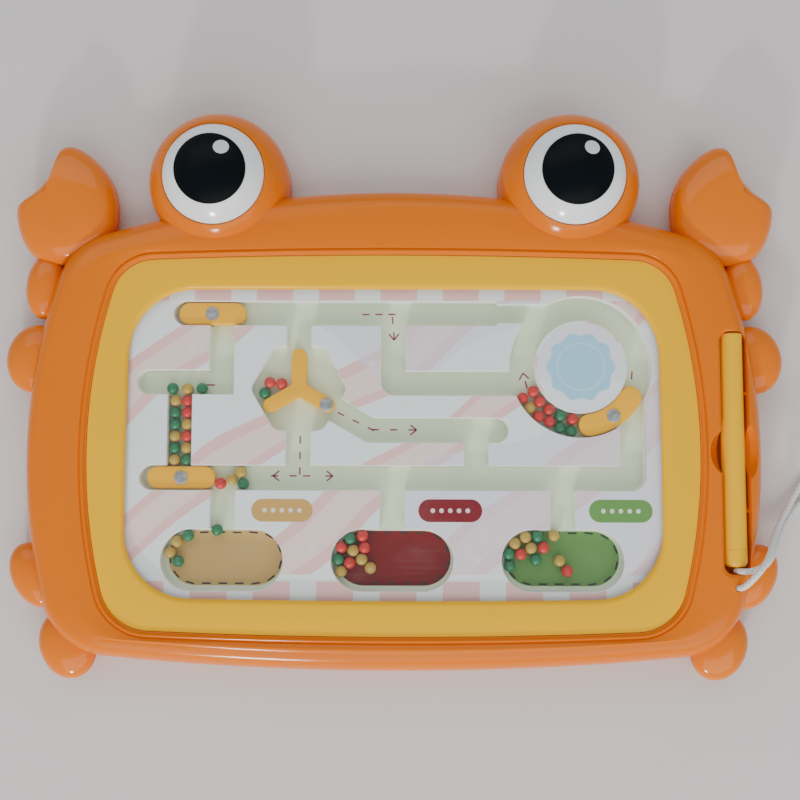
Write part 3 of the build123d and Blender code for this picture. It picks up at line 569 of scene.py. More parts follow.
# outlines of the boards: four long arcs with rounded corners, clockwise from the top left corner

outlines = {
    "case": {"top": (166.1, 75.4, 27.7), "side": 19.0, "low": (168.4, -130.0, 9.3), "radii": (34.0, 35.6)},
    "bezel": {"top": (137.6, 66.3, 3.0), "side": 15.3, "low": (139.9, -118.7, 3.5), "radii": (22.0, 25.5)},
    "window": {"top": (133.5, 51.6, 0.3), "side": 1.0, "low": (134.4, -103.3, 1.6), "radii": (34.0, 34.0)},
}
arcSteps = {"long": 40, "corner": 20}
caseSpec = {"parting": 11.0, "groove": 0.35, "belly": 1.8}  # what the two shells share


def outlinePoints(kind, grow=0.0, z=0.0):
    spec = outlines[kind]
    top, low = spec["top"], spec["low"]
    corners = [Vector((-top[0], top[1])), Vector((top[0], top[1])), Vector((low[0], low[1])),
               Vector((-low[0], low[1]))]
    roundings = (spec["radii"][0], spec["radii"][0], spec["radii"][1], spec["radii"][1])
    circles = []
    for i, crown in enumerate((top[2], spec["side"], low[2], spec["side"])):
        a, b = corners[i], corners[(i + 1) % 4]
        chord = (b - a).length
        radius = (chord * chord / 4 + crown * crown) / (2 * crown)
        outward = Vector((a.y - b.y, b.x - a.x)) / chord
        circles.append(((a + b) / 2 - outward * (radius - crown), radius))
    middles = []
    for i, corner in enumerate(corners):
        (c1, r1), (c2, r2) = circles[i - 1], circles[i]
        r1, r2 = r1 - roundings[i], r2 - roundings[i]
        apart = (c2 - c1).length
        along = (r1 * r1 - r2 * r2 + apart * apart) / (2 * apart)
        across = math.sqrt(r1 * r1 - along * along)
        step = (c2 - c1) / apart
        places = [c1 + step * along + Vector((-step.y, step.x)) * across * side for side in (1, -1)]
        middles.append(min(places, key=lambda p: (p - corner).length))

    def bearing(centre, place):
        return math.atan2(place.y - centre.y, place.x - centre.x)

    def arc(centre, radius, start, end, steps):
        turn = (start - end) % (2 * math.pi)
        return [(centre.x + radius * math.cos(start - turn * i / steps),
                 centre.y + radius * math.sin(start - turn * i / steps), z) for i in range(steps)]

    points = []
    for i, (centre, radius) in enumerate(circles):
        before, start = bearing(circles[i - 1][0], middles[i]), bearing(centre, middles[i])
        end = bearing(centre, middles[(i + 1) % 4])
        points += arc(middles[i], roundings[i] + grow, before, start, arcSteps["corner"])
        points += arc(centre, radius + grow, start, end, arcSteps["long"])
    return points


def outlineRings(kind, levels):
    return [outlinePoints(kind, grow, z) for grow, z in levels]


def crowned(outer, inner, steps, z, rise):
    # rings between two outlines, rising a little in the middle
    rings = []
    for i in range(1, steps):
        height = z + rise * math.sin(math.pi * i / steps)
        rings.append([(p[0] + (q[0] - p[0]) * i / steps, p[1] + (q[1] - p[1]) * i / steps, height)
                      for p, q in zip(outer, inner)])
    return rings


# the front shell: side wall, rolled edge, deck, bead and the slope down to the bezel

frontSpec = {"rollOut": 11.0, "deck": 27.0, "crown": 0.7,
             "lip": [(3.9, 27.0), (3.7, 26.95), (3.5, 26.75), (3.35, 26.4), (3.1, 26.1), (2.85, 26.2),
                     (2.65, 26.6), (2.35, 26.95), (1.9, 27.15), (1.45, 27.0), (1.1, 26.6), (0.85, 26.1),
                     (0.7, 25.6), (0.12, 25.3)],
             "hole": ((171.2, -97.6), [(1.8, 20.0), (1.8, 26.5), (2.2, 27.1), (3.4, 29.0)])}
troughSpec = {"x": 171.3, "half": 7.05, "low": -91.1, "high": 30.4, "corner": 5.0, "floor": 15.55, "lip": 1.1,
              "floorEdge": [(0.0, -2.4), (0.35, -1.2), (1.2, -0.35), (2.4, 0.0)],
              "scoopY": -30.3, "scoop": (12.4, 13.0, 10.0), "flare": 0.4,
              "scoopAngles": (80, 66, 52, 38, 26, 14, 5), "scoopEdge": ((0.6, 0.1), (2.4, 2.5)),
              "nubs": (-0.7, -59.7), "nubHalf": (0.9, 1.1),
              "nubLevels": ((19.0, 0.5), (19.6, 1.0), (22.0, 1.0), (22.6, 0.5))}


def troughPoints(spec, grow, z):
    half, corner = spec["half"] + grow, spec["corner"] + min(grow, 0) * 0.6
    low, high = spec["low"] - grow + corner, spec["high"] + grow - corner
    points = []
    for side, y, start in ((1, high, 0), (-1, high, 90), (-1, low, 180), (1, low, 270)):
        centre = (spec["x"] + side * (half - corner), y)
        points += [(*p, z) for p in arcPoints(centre, corner, start, 90, 8, 1)]
    return points


def scoopPoints(spec, halfX, halfY, z):
    # the thumb scoop is longer on the outer side of the pen
    return [(spec["x"] + x, spec["scoopY"] + y * (1 + spec["flare"] * max(0.0, x / halfX)), z)
            for x, y, z in ovalPoints(0, 0, halfX, halfY, z)]


def troughCutters(t, deck):
    # the pen's slot with a rounded floor and a flared mouth, and the two finger scoops beside it
    lip = t["lip"]
    levels = [(t["floor"] + rise, grow) for rise, grow in t["floorEdge"]]
    levels += [(deck - lip + lip * math.sin(a), lip * (1 - math.cos(a))) for a in quarter(5)]
    levels.append((deck + 3, lip + 1.5))
    sx, sy, sz = t["scoop"]
    rings = []
    for degrees in t["scoopAngles"]:
        c, d = math.cos(math.radians(degrees)), math.sin(math.radians(degrees))
        rings.append(scoopPoints(t, sx * c, sy * c, deck - sz * d))
    rings += [scoopPoints(t, sx + grow, sy + grow, deck + rise) for grow, rise in t["scoopEdge"]]
    return [bridged("slot", [troughPoints(t, grow, z) for z, grow in levels]), bridged("scoop", rings)]


def makeFrontShell(spec, trough):
    low, deck, belly, roll = caseSpec["parting"], spec["deck"], caseSpec["belly"], spec["rollOut"]
    foot = low + caseSpec["groove"]
    levels = [(belly - caseSpec["groove"], low)]
    levels += [(belly - roll * (1 - math.cos(t)), foot + (deck - foot) * math.sin(t)) for t in quarter(12)]
    rings = outlineRings("case", levels)
    rings += crowned(outlinePoints("case", belly - roll), outlinePoints("bezel", spec["lip"][0][0]), 8, deck,
                     spec["crown"])
    rings += outlineRings("bezel", spec["lip"] + [(spec["lip"][-1][0], low)])
    shell = addObject("frontShell", bridged("frontShell", rings, closeUp=True), orangePlastic)
    carved(shell, troughCutters(trough, deck) + [lathe("hole", *spec["hole"], 32)])
    evenNormals(shell, 30)
    dress(shell, "orange_shell", "front_shell")


def makeNubs(t):
    # small bumps on the trough's wall that hold the pen
    (halfX, halfY), wallX = t["nubHalf"], t["x"] + t["half"]
    nubs = []
    for y in t["nubs"]:
        rings = [ovalPoints(wallX, y, halfX * share, halfY * share, z) for z, share in t["nubLevels"]]
        nubs.append(bridged("nub", rings))
    addPiece("troughNubs", joined("troughNubs", nubs), orangePlastic, "orange_shell")


makeFrontShell(frontSpec, troughSpec)
makeNubs(troughSpec)
print("front shell made")


# domes, claws and limbs, each as an upper half on the front shell and a lower half on the back shell

domeSpec = {"place": (91.3, 109.1), "radius": 36.6, "equator": 14.0, "rise": 27.8, "rim": 33.0, "hole": 26.0,
            "seat": 29.0, "shoulder": 32.28, "steps": 16,
            "rimRound": ((0.56, -0.1), (0.15, -0.35), (0.0, -0.9))}
limbSpec = {
    "arm": (182.2, 55.4, 17.1, 9.8, -84.0), "upperLeg": (186.5, 17.4, 17.7, 14.6, 99.0),
    "lowerLeg": (183.3, -93.9, 17.5, 11.6, 62.0), "foot": (165.8, -128.7, 17.6, 13.8, 68.0)}
limbHalves = {
    "above": {"angles": (2, 8, 16, 26, 36, 46, 56, 66, 75, 83, 89), "power": 0.9, "start": 0.3, "rise": 8.0},
    "below": {"angles": (2, 12, 26, 42, 58, 70), "power": 0.55, "start": -0.3, "rise": -9.0}}
clawSpec = {
    "middle": (175.5, 98.0), "lean": (5.0, 2.0),
    "outline": [(171.6, 129.0), (173.9, 126.6), (175.6, 119.8), (179.6, 112.0), (186.0, 104.4), (193.4, 98.9),
                (196.6, 95.0), (196.5, 88.4), (193.5, 78.4), (187.2, 70.0), (177.0, 66.5), (163.0, 68.0),
                (151.0, 75.5), (146.2, 85.4), (145.3, 92.6), (145.5, 99.7), (147.5, 108.0), (152.2, 116.5),
                (159.0, 123.7), (166.4, 128.5)],
    "above": [(0.985, 0.3), (1.0, 1.2), (1.0, 2.6), (0.985, 4.8), (0.955, 6.9), (0.91, 8.8), (0.85, 10.4),
              (0.77, 11.8), (0.66, 13.0), (0.52, 13.9), (0.36, 14.4), (0.18, 14.5), (0.0, 14.5)],
    "below": [(0.985, -0.3), (1.0, -1.2), (0.99, -3.5), (0.95, -5.8), (0.87, -7.8), (0.74, -9.0), (0.4, -9.0),
              (0.0, -9.0)],
}


def makeDome(spec):
    radius, equator, hole, steps = spec["radius"], spec["equator"], spec["hole"], spec["steps"]
    low = caseSpec["parting"]
    endTurn = math.asin((spec["shoulder"] - equator) / spec["rise"])
    profile = [(0, low), (radius - 0.3, low), (radius, low + caseSpec["groove"]), (radius, equator)]
    for i in range(1, steps + 1):
        turn = endTurn * i / steps
        profile.append((radius * math.cos(turn), equator + spec["rise"] * math.sin(turn)))
    profile += [(hole + grow, spec["rim"] + rise) for grow, rise in spec["rimRound"]]
    profile += [(hole, spec["seat"]), (0, spec["seat"])]
    return lathe("dome", spec["place"], profile, 128, 50)


def closedSpline(points, steps):
    # a smooth closed line through the given points
    out = []
    count = len(points)
    for i in range(count):
        a, b, c, d = (Vector(points[(i + k) % count]) for k in (-1, 0, 1, 2))
        for j in range(steps):
            t = j / steps
            out.append(0.5 * (2 * b + (c - a) * t + (2 * a - 5 * b + 4 * c - d) * t * t
                              + (3 * b - a - 3 * c + d) * t ** 3))
    return out


def clawHalf(spec, half):
    line, middle = closedSpline(spec["outline"], 6), Vector(spec["middle"])
    rings = []
    for share, height in spec[half]:
        lean, share = Vector(spec["lean"]) * (1 - share), max(share, 0.004)
        z = caseSpec["parting"] + height
        rings.append([(*(middle + lean + (p - middle - lean) * share), z) for p in line])
    return bridged("claw", rings, smooth=60)


def limbHalf(limb, half):
    x, y, halfLength, halfWidth, tilt = limb
    rings = []
    for degrees in half["angles"]:
        share = math.cos(math.radians(degrees)) ** half["power"]
        z = caseSpec["parting"] + half["start"] + half["rise"] * math.sin(math.radians(degrees))
        rings.append(ovalPoints(x, y, halfLength * share, halfWidth * share, z, tilt))
    return bridged("limb", rings, smooth=60)


def makeBody():
    limbs = [limbHalf(limb, limbHalves["above"]) for limb in limbSpec.values()]
    for name, meshes, smooth, material in (("eyeDomes", [makeDome(domeSpec)], 50, orangePlastic),
                                           ("claws", [clawHalf(clawSpec, "above")], 60, limbPlastic),
                                           ("limbs", limbs, 60, limbPlastic)):
        addPiece(name, paired(name, meshes, smooth), material, "orange_shell", "front_shell")


makeBody()
print("domes, claws and limbs made")


# the back shell: a closed tray with screw wells, and the lower halves of the limbs

backSpec = {"bevel": 4.0, "well": (3.4, 4.0), "tray": ((-6.0, -1.2), (-3.0, 0.0), (-0.35, 0.0), (0.0, -0.35))}


def makeBackShell(spec):
    top, belly, bevel = caseSpec["parting"], caseSpec["belly"], spec["bevel"]
    levels = [(belly + grow, top + rise) for grow, rise in spec["tray"]]
    levels += [(belly + bevel * (math.sin(t) - 1), bevel * (1 - math.cos(t))) for t in reversed(quarter(8))]
    shell = addObject("backShell", bridged("backShell", outlineRings("case", levels)), orangePlastic)
    radius, depth = spec["well"]
    profile = [(radius, -1.0), (radius, depth)]
    carved(shell, [lathe("well", place, profile, 32) for place in centresOf("case_screws")])
    smoothShade(shell.data, 30)
    dress(shell, "orange_shell", "back_shell")


def makeLowerLimbs(spec):
    top, radius, bevel = caseSpec["parting"], domeSpec["radius"], spec["bevel"]
    cup = [(0, 0.0), (radius - bevel, 0.0)]
    cup += [(radius - bevel + bevel * math.sin(t), bevel * (1 - math.cos(t))) for t in quarter(6)[1:]]
    cup += [(radius, top - caseSpec["groove"]), (radius - 0.3, top), (0, top)]
    meshes = [clawHalf(clawSpec, "below")]
    meshes += [limbHalf(limb, limbHalves["below"]) for limb in limbSpec.values()]
    meshes.append(lathe("cup", domeSpec["place"], cup))
    addPiece("lowerLimbs", paired("lowerLimbs", meshes, 50), orangePlastic, "orange_shell", "back_shell")


makeBackShell(backSpec)
makeLowerLimbs(backSpec)
print("back shell made")


# the bezel: a yellow frame with rolled edges round the window

bezelSpec = {"top": 25.5, "foot": 23.1, "outerRound": 0.7, "innerRound": 2.4, "crown": 0.25}


def makeBezel(spec):
    top, r, edge = spec["top"], spec["innerRound"], spec["outerRound"]
    inner = [(0, spec["foot"]), (0, top - r - 0.1)]
    inner += [(r * (1 - math.cos(t)), top - r + r * math.sin(t)) for t in quarter(8)]
    outer = [(edge * (math.cos(t) - 1), top - edge + edge * math.sin(t)) for t in reversed(quarter(5))]
    rings = outlineRings("window", inner)
    rings += crowned(outlinePoints("window", r), outlinePoints("bezel", -edge), 6, top, spec["crown"])
    rings += outlineRings("bezel", outer + [(0, spec["foot"])])
    mesh = bridged("bezelRing", rings, closeUp=True, smooth=40)
    addPiece("bezel", mesh, yellowPlastic, "yellow_bezel", "bezel_frame")


makeBezel(bezelSpec)
print("bezel made")


# eyes: shallow domes of white with a raised pupil; the glint is printed on the pupil

eyeSpec = {"place": (91.3, 109.1), "white": 25.7, "rim": 33.0, "bulge": 31.9, "pupil": 17.9, "thick": 0.8,
           "low": 28.0, "under": 2.0, "edge": 0.15, "wallDrop": 0.5, "sunk": 0.1, "pupilEdge": 0.25,
           "pupilWall": ((0.0, 0.0), (0.0, 0.55), (-0.08, 0.8)), "steps": 14, "glint": (6.3, 9.6, 3.8),
           "black": (0.003, 0.005, 0.007), "dust": (0.02, 0.025, 0.03), "shine": (0.72, 0.77, 0.76)}


def pupilMaterial(spec):
    material, s, shader = newMaterial("pupilBlack")
    place = s.place()
    parts = s.parts(place)
    gx, gy, radius = spec["glint"]
    spots = []
    for side in (-1, 1):
        away = s.away(parts, side * spec["place"][0] + gx, spec["place"][1] + gy)[2]
        spots.append(s.fall(away, (radius - 0.12) * mm, (radius + 0.12) * mm))
    dust = s.step(s.noise(place, 1500.0), 0.7, 0.78)
    black = s.mix(dust, colour(spec["black"]), colour(spec["dust"]))
    worn = s.group(handlingMarks, {"Amount": 0.1})["Mask"]
    s.give(shader, {"Base Color": s.mix(s.largest(spots), black, colour(spec["shine"])),
                    "Roughness": s.add(0.3, worn), "Specular IOR Level": 0.07})
    return material


def makeEyes(spec):
    white, pupil, bulge, rim, steps = spec["white"], spec["pupil"], spec["bulge"], spec["rim"], spec["steps"]
    centre = rim - math.sqrt(bulge ** 2 - white ** 2)
    start, end = math.asin(white / bulge), math.asin((pupil - spec["under"]) / bulge)
    lower = [(0, spec["low"]), (white, spec["low"]), (white, rim - spec["wallDrop"])]
    lower.append((white - spec["edge"], rim))
    for i in range(1, steps + 1):
        turn = start + (end - start) * i / steps
        lower.append((bulge * math.sin(turn) - spec["edge"], centre + bulge * math.cos(turn)))
    lower.append((0, lower[-1][1]))
    outer = bulge + spec["thick"]
    start = math.asin((pupil - spec["pupilEdge"]) / outer)
    low = centre + math.sqrt(bulge ** 2 - pupil ** 2) - spec["sunk"]
    upper = [(0, low)] + [(pupil + grow, low + rise) for grow, rise in spec["pupilWall"]]
    for i in range(steps):
        turn = start * (1 - i / steps)
        upper.append((outer * math.sin(turn), centre + outer * math.cos(turn)))
    upper.append((0, centre + outer))
    for name, profile, material, slot, node in (
            ("eyeWhites", lower, eyeWhite, "eye_white", "eye_whites"),
            ("eyePupils", upper, pupilMaterial(spec), "eye_pupil", "eye_pupils")):
        addPiece(name, paired(name, [lathe(name, spec["place"], profile, 128)]), material, slot, node)


makeEyes(eyeSpec)
print("eyes made")


# the maze panel: floor, printed walls and the clear window

mazeSpec = {
    "edge": 0.45, "walls": ("maze_border", "island_left", "island_centre", "island_exit", "island_top",
                            "ring_island"),
    "floor": (0.80, 0.90, 0.66), "ice": (0.90, 0.96, 0.97), "pink": (0.93, 0.58, 0.56),
    "peach": (0.95, 0.76, 0.70), "lilac": (0.80, 0.76, 0.90), "blue": (0.38, 0.71, 0.92),
    "spots": (0.9, 0.92, 0.9), "halo": (0.85, 0.93, 0.95), "side": (0.92, 0.95, 0.90),
    "blocks": {"pitch": 31.7, "share": 0.585, "start": -6.7, "above": 46.6, "below": -95.6, "line": -92.2},
    "ring": {"place": (95.3, 12.8), "radius": 22.5, "split": 6.05, "rosette": 16.8, "scallop": 0.9,
             "petals": 10.0, "halo": (11.8, 12.4)},
    "printFrom": (20.2, 20.6), "pane": (0.80, 0.88, 0.86)}


def softCopy(node, name, material, edge):
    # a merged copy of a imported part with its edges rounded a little
    mesh = cad[node].data.copy()
    mesh.materials.clear()
    bm = bmesh.new()
    bm.from_mesh(mesh)
    bmesh.ops.remove_doubles(bm, verts=bm.verts, dist=1e-6)
    bmesh.ops.dissolve_limit(bm, angle_limit=math.radians(0.5), verts=bm.verts, edges=bm.edges)
    bm.to_mesh(mesh)
    bm.free()
    piece = addObject(name, mesh, material)
    bevel = piece.modifiers.new("edge", "BEVEL")
    bevel.width = edge * mm
    bevel.segments = 2
    bevel.limit_method = "ANGLE"
    bevel.angle_limit = math.radians(50)
    evenNormals(applied(piece), 40)
    return piece


def pastelPrint(s, place, spec):
    # soft bands, patches and spots in place of the printed pictures
    bend = s.node("ShaderNodeVectorMath", {0: s.noise(place, 9.0, 1.0, output="Color"), 3: 0.05},
                  operation="SCALE").outputs[0]
    bent = s.node("ShaderNodeVectorMath", {0: place, 1: bend}).outputs[0]
    turned = s.node("ShaderNodeMapping", {"Vector": bent, "Rotation": (0, 0, 0.9)}).outputs[0]
    waves = s.node("ShaderNodeTexWave", {"Vector": turned, "Scale": 5.5, "Distortion": 3.0, "Detail": 0.0,
                                         "Detail Scale": 0.6}).outputs["Fac"]
    base = s.mix(s.step(waves, 0.62, 0.64), colour(spec["ice"]), colour(spec["pink"]))
    base = s.mix(s.step(waves, 0.86, 0.88), base, colour(spec["peach"]))
    patches = s.step(s.noise(bent, 12.0, 0.0), 0.56, 0.57)
    base = s.mix(s.times(patches, 0.55), base, colour(spec["lilac"]))
    cells = s.node("ShaderNodeTexVoronoi", {"Vector": place, "Scale": 55.0, "Randomness": 0.8})
    spots = s.times(s.fall(cells.outputs["Distance"], 0.10, 0.12), 0.6)
    return s.mix(spots, base, colour(spec["spots"]))


def printedWalls(spec):
    material, s, shader = newMaterial("printedWalls")
    place = s.place()
    parts = s.parts(place)
    ice, blocks, ring = colour(spec["ice"]), spec["blocks"], spec["ring"]

    def above(height, soft=0.1):
        return s.step(parts[1], (height - soft) * mm, (height + soft) * mm)

    # wide pink blocks along the upper and lower edge, with a white line above the lower ones
    along = s.times(s.math("SUBTRACT", parts[0], blocks["start"] * mm), 1 / (blocks["pitch"] * mm))
    block = s.mix(s.math("LESS_THAN", s.math("FRACT", along), blocks["share"]), ice, colour(spec["pink"]))
    lower, line = (s.math("SUBTRACT", 1.0, above(blocks[key])) for key in ("below", "line"))
    base = s.mix(line, pastelPrint(s, place, spec), ice)
    base = s.mix(s.math("MAXIMUM", above(blocks["above"]), lower), base, block)
    # the ring island: two pale halves, a scalloped rosette and a thin ring in it
    dx, dy, away = s.away(parts, *ring["place"])
    petals = s.math("COSINE", s.times(s.math("ARCTAN2", dy, dx), ring["petals"]))
    rosette = s.math("LESS_THAN", away, s.add(ring["rosette"] * mm, s.times(petals, ring["scallop"] * mm)))
    halves = s.mix(above(ring["split"], 0.05), ice, s.mix(0.45, ice, colour(spec["lilac"])))
    base = s.mix(s.math("LESS_THAN", away, ring["radius"] * mm), base, halves)
    base = s.mix(rosette, base, colour(spec["blue"]))
    inner, outer = ring["halo"]
    halo = s.times(s.math("GREATER_THAN", away, inner * mm), s.math("LESS_THAN", away, outer * mm))
    base = s.mix(s.times(halo, 0.55), base, colour(spec["halo"]))
    # only the tops are printed
    normal = s.parts(s.node("ShaderNodeNewGeometry").outputs["Normal"])[2]
    low, high = spec["printFrom"]
    top = s.times(s.step(normal, 0.90, 0.97), s.step(parts[2], low * mm, high * mm))
    skin = s.group(mouldedSkin, {"Color": s.mix(top, colour(spec["side"]), base),
                                 "Low Tint": colour((0.96, 0.95, 0.94)), "Drift": 0.6, "Roughness": 0.3})
    s.give(shader, {"Base Color": skin["Color"], "Roughness": skin["Roughness"],
                    "Normal": s.relief(skin["Height"], 0.05)})
    return material


def clearPane(spec):
    material, s, shader = newMaterial("clearPane")
    worn = s.group(handlingMarks, {"Amount": 0.25})["Mask"]
    s.give(shader, {"Base Color": colour(spec["pane"]), "Specular IOR Level": 0.18,
                    "Roughness": s.add(0.05, worn), "Alpha": s.add(0.016, s.times(worn, 0.10))})
    return material


def makeMaze(spec):
    walls = printedWalls(spec)
    for node in spec["walls"]:
        dress(softCopy(node, "wall_" + node, walls, spec["edge"]), "maze_wall", node)
    paintNode(plastic("sagePlastic", spec["floor"], 0.3, (0.93, 0.95, 0.9), 0.25), "maze_floor", "rotor_pin")
    paintNode(clearPane(spec), "window_pane")


makeMaze(mazeSpec)
print("maze made")


# geometry trees that set a shape on every point

def instanceTree(name, inputs, build):
    # build gives the sockets of the instancing node, and the material, unless the shape has its own
    tree = bpy.data.node_groups.new(name, "GeometryNodeTree")
    tree.interface.new_socket("Geometry", in_out="INPUT", socket_type="NodeSocketGeometry")
    for label, value in inputs.items():
        kind = "NodeSocketMaterial" if value is None else "NodeSocketFloat"
        socket = tree.interface.new_socket(label, in_out="INPUT", socket_type=kind)
        if value is not None:
            socket.default_value = value
    tree.interface.new_socket("Geometry", in_out="OUTPUT", socket_type="NodeSocketGeometry")
    n = Nodes(tree)
    sockets, material = build(n, n.node("NodeGroupInput").outputs)
    placed = n.node("GeometryNodeInstanceOnPoints", sockets).outputs[0]
    real = n.node("GeometryNodeRealizeInstances", {0: placed}).outputs[0]
    if material:
        real = n.node("GeometryNodeSetMaterial", {"Geometry": real, "Material": material}).outputs[0]
    n.give(n.node("NodeGroupOutput"), {0: real})
    return tree


def setTree(obj, tree, values):
    # the tree as a modifier, with its inputs set by their identifiers
    modifier = obj.modifiers.new("tree", "NODES")
    modifier.node_group = tree
    for item in tree.interface.items_tree:
        if item.in_out == "INPUT" and item.name in values:
            modifier[item.identifier] = values[item.name]


def onPoints(name, points, tree, values):
    mesh = bpy.data.meshes.new(name)
    mesh.from_pydata([Vector(p) * mm for p in points], [], [])
    holder = addObject(name, mesh)
    setTree(holder, tree, values)
    return applied(holder)


# printed marks: dashes and arrow heads on the floor, pocket colours and labels

markSpec = {
    "z": 13.76, "ink": (0.32, 0.04, 0.09),
    "lines": [[(-14.5, 40.6), (-1.0, 40.7)], [(-0.6, 37.6), (0.1, 29.5)], [(-27.1, -11.2), (-11.6, -18.9)],
              [(-9.4, -19.2), (9.6, -19.3)], [(-48.0, -24.6), (-48.0, -40.5)],
              [(-44.5, -43.0), (-33.0, -43.0)], [(-51.5, -43.0), (-61.0, -43.0)]],
    "dashes": [((-98.7, 3.7), 0), ((-94.4, 3.7), 0), ((68.4, 4.1), 105), ((123.0, 9.2), 86)],
    "heads": [((0.1, 27.2), -90), ((11.9, -19.3), 0), ((-31.0, -43.0), 0), ((-61.8, -43.0), 180),
              ((66.8, 10.2), 100)],
    "stroke": 4.1, "headTurn": 38, "dashed": {"Dash": 3.8, "Pitch": 6.4, "Width": 0.75}}
pocketSpec = {
    "x": (-85.3, 0.2, 85.9), "y": -84.7, "length": 58.5, "width": 27.7, "z": 13.74, "thick": 0.05,
    "colours": {"Yellow": (0.62, 0.40, 0.13), "Red": (0.20, 0.002, 0.004), "Green": (0.13, 0.30, 0.07)},
    "roughness": 0.32, "ink": (0.03, 0.03, 0.03),
    "outline": {"Dash": 4.4, "Pitch": 8.4, "Width": 0.85}, "outlineInset": 2.0, "outlineLift": 0.04}
labelSpec = {
    "z": 21.01, "y": -60.2, "height": 11.4, "thick": 0.05,
    "dots": {"count": 5, "pitch": 4.4, "radius": 1.15, "thick": 0.02, "ink": (0.82, 0.82, 0.78)},
    "places": {"Yellow": (-56.0, 31.0), "Red": (28.8, 32.2), "Green": (114.6, 32.0)},
    "colours": {"Yellow": (0.64, 0.38, 0.10), "Red": (0.22, 0.003, 0.012), "Green": (0.13, 0.33, 0.07)}}


def dashTree(material):
    # short bars along a curve, one every pitch
    def build(n, given):
        size = {i: n.times(given[label], mm) for i, label in enumerate(("Dash", "Width", "Thickness"))}
        line = n.node("GeometryNodeResampleCurve", {"Curve": given["Geometry"],
                                                    "Length": n.times(given["Pitch"], mm)}, mode="LENGTH")
        bar = n.node("GeometryNodeMeshCube", {"Size": n.node("ShaderNodeCombineXYZ", size).outputs[0]})
        turn = n.node("FunctionNodeAlignRotationToVector",
                      {"Vector": n.node("GeometryNodeInputTangent").outputs[0]}, axis="X")
        sockets = {"Points": line.outputs[0], "Instance": bar.outputs["Mesh"], "Rotation": turn.outputs[0]}
        return sockets, material

    return instanceTree("dashes", {"Dash": 3.6, "Pitch": 5.4, "Width": 0.7, "Thickness": 0.08}, build)


def dashedLines(name, lines, tree, values, closed=False):
    data = bpy.data.curves.new(name, "CURVE")
    data.dimensions = "3D"
    for points in lines:
        addLine(data, "POLY", points).use_cyclic_u = closed
    holder = addObject(name, data)
    setTree(holder, tree, values)
    mesh = meshOf(holder)
    bpy.data.objects.remove(holder)
    dress(addObject(name, mesh), "maze_panel")


def makeMarks(spec):
    tree, z = dashTree(ink("maroonInk", spec["ink"])), spec["z"]
    dashedLines("floorDashes", [[(*a, z), (*b, z)] for a, b in spec["lines"]], tree, spec["dashed"])
    # single dashes and the two arms of each arrow head: each is two short bars, end to end
    half = spec["stroke"] / 2
    strokes = list(spec["dashes"])
    for place, turn in spec["heads"]:
        for side in (-1, 1):
            bearing = turn + 180 + side * spec["headTurn"]
            strokes.append((around(place, half, bearing), bearing))
    lines = [[(*around(place, reach, turn), z) for reach in (-half / 2, half / 2)] for place, turn in strokes]
    dashedLines("arrowHeads", lines, tree, {"Dash": half, "Pitch": 10.0, "Width": spec["dashed"]["Width"]})


def makePockets(spec):
    tree = dashTree(ink("pocketInk", spec["ink"]))
    y, length, width, z, inset = (spec[key] for key in ("y", "length", "width", "z", "outlineInset"))
    lines = []
    for x, (name, tint) in zip(spec["x"], spec["colours"].items()):
        mesh = bridged("pocket", [slotPoints(x, y, length, width, h) for h in (z - spec["thick"], z)])
        addPiece("pocketFloor" + name, mesh, ink("pocket" + name, tint, spec["roughness"]), "maze_panel")
        lines.append(slotPoints(x, y, length - inset, width - inset, z + spec["outlineLift"], 24))
    dashedLines("pocketOutlines", lines, tree, spec["outline"], closed=True)


def makeLabels(spec):
    # round-ended labels with a row of white dots
    dots, y, low = spec["dots"], spec["y"], spec["z"]
    high = low + spec["thick"]
    white = ink("labelWhite", dots["ink"])
    meshes = []
    for name, (x, width) in spec["places"].items():
        mesh = bridged("label", [slotPoints(x, y, width, spec["height"], z) for z in (low, high)])
        addPiece("label" + name, mesh, ink("ink" + name, spec["colours"][name]), "maze_wall")
        for i in range(dots["count"]):
            place = (x + (i - (dots["count"] - 1) / 2) * dots["pitch"], y)
            meshes.append(bridged("dot", [circle(place, dots["radius"], 24, z)
                                          for z in (high, high + dots["thick"])]))
    addPiece("labelDots", joined("labelDots", meshes), white, "maze_wall")


makeMarks(markSpec)
makePockets(pocketSpec)
makeLabels(labelSpec)
print("marks printed")


# balls, one on the middle of each packed ball

ballSpec = {"radius": 2.95, "speck": (0.5, 0.45, 0.4),
            "coats": {"red_coat": (0.62, 0.02, 0.014), "yellow_coat": (0.50, 0.33, 0.04),
                      "green_coat": (0.008, 0.17, 0.065)}}


def ballTree():
    def build(n, given):
        ball = n.node("GeometryNodeMeshIcoSphere", {"Subdivisions": 4, "Radius": given["Radius"]})
        smooth = n.node("GeometryNodeSetShadeSmooth", {"Geometry": ball.outputs["Mesh"]})
        return {"Points": given["Geometry"], "Instance": smooth.outputs[0]}, given["Material"]

    return instanceTree("ballsOnPoints", {"Radius": 0.003, "Material": None}, build)


def coatedBall(name, base, speckColour):
    # a satin coat on steel, a little uneven, with worn bright specks
    material, s, shader = newMaterial(name)
    place = s.place()
    slow = s.noise(place, 160.0)
    speck = s.step(s.noise(place, 1300.0), 0.72, 0.76)
    tint = s.mix(slow, colour(base, 0.75), colour(base, 1.25))
    s.give(shader, {"Base Color": s.mix(s.times(speck, 0.25), tint, colour(speckColour)),
                    "Roughness": s.add(0.32, s.times(slow, 0.12)),
                    "Normal": s.relief(s.noise(place, 700.0), 0.15, 0.0002)})
    return material


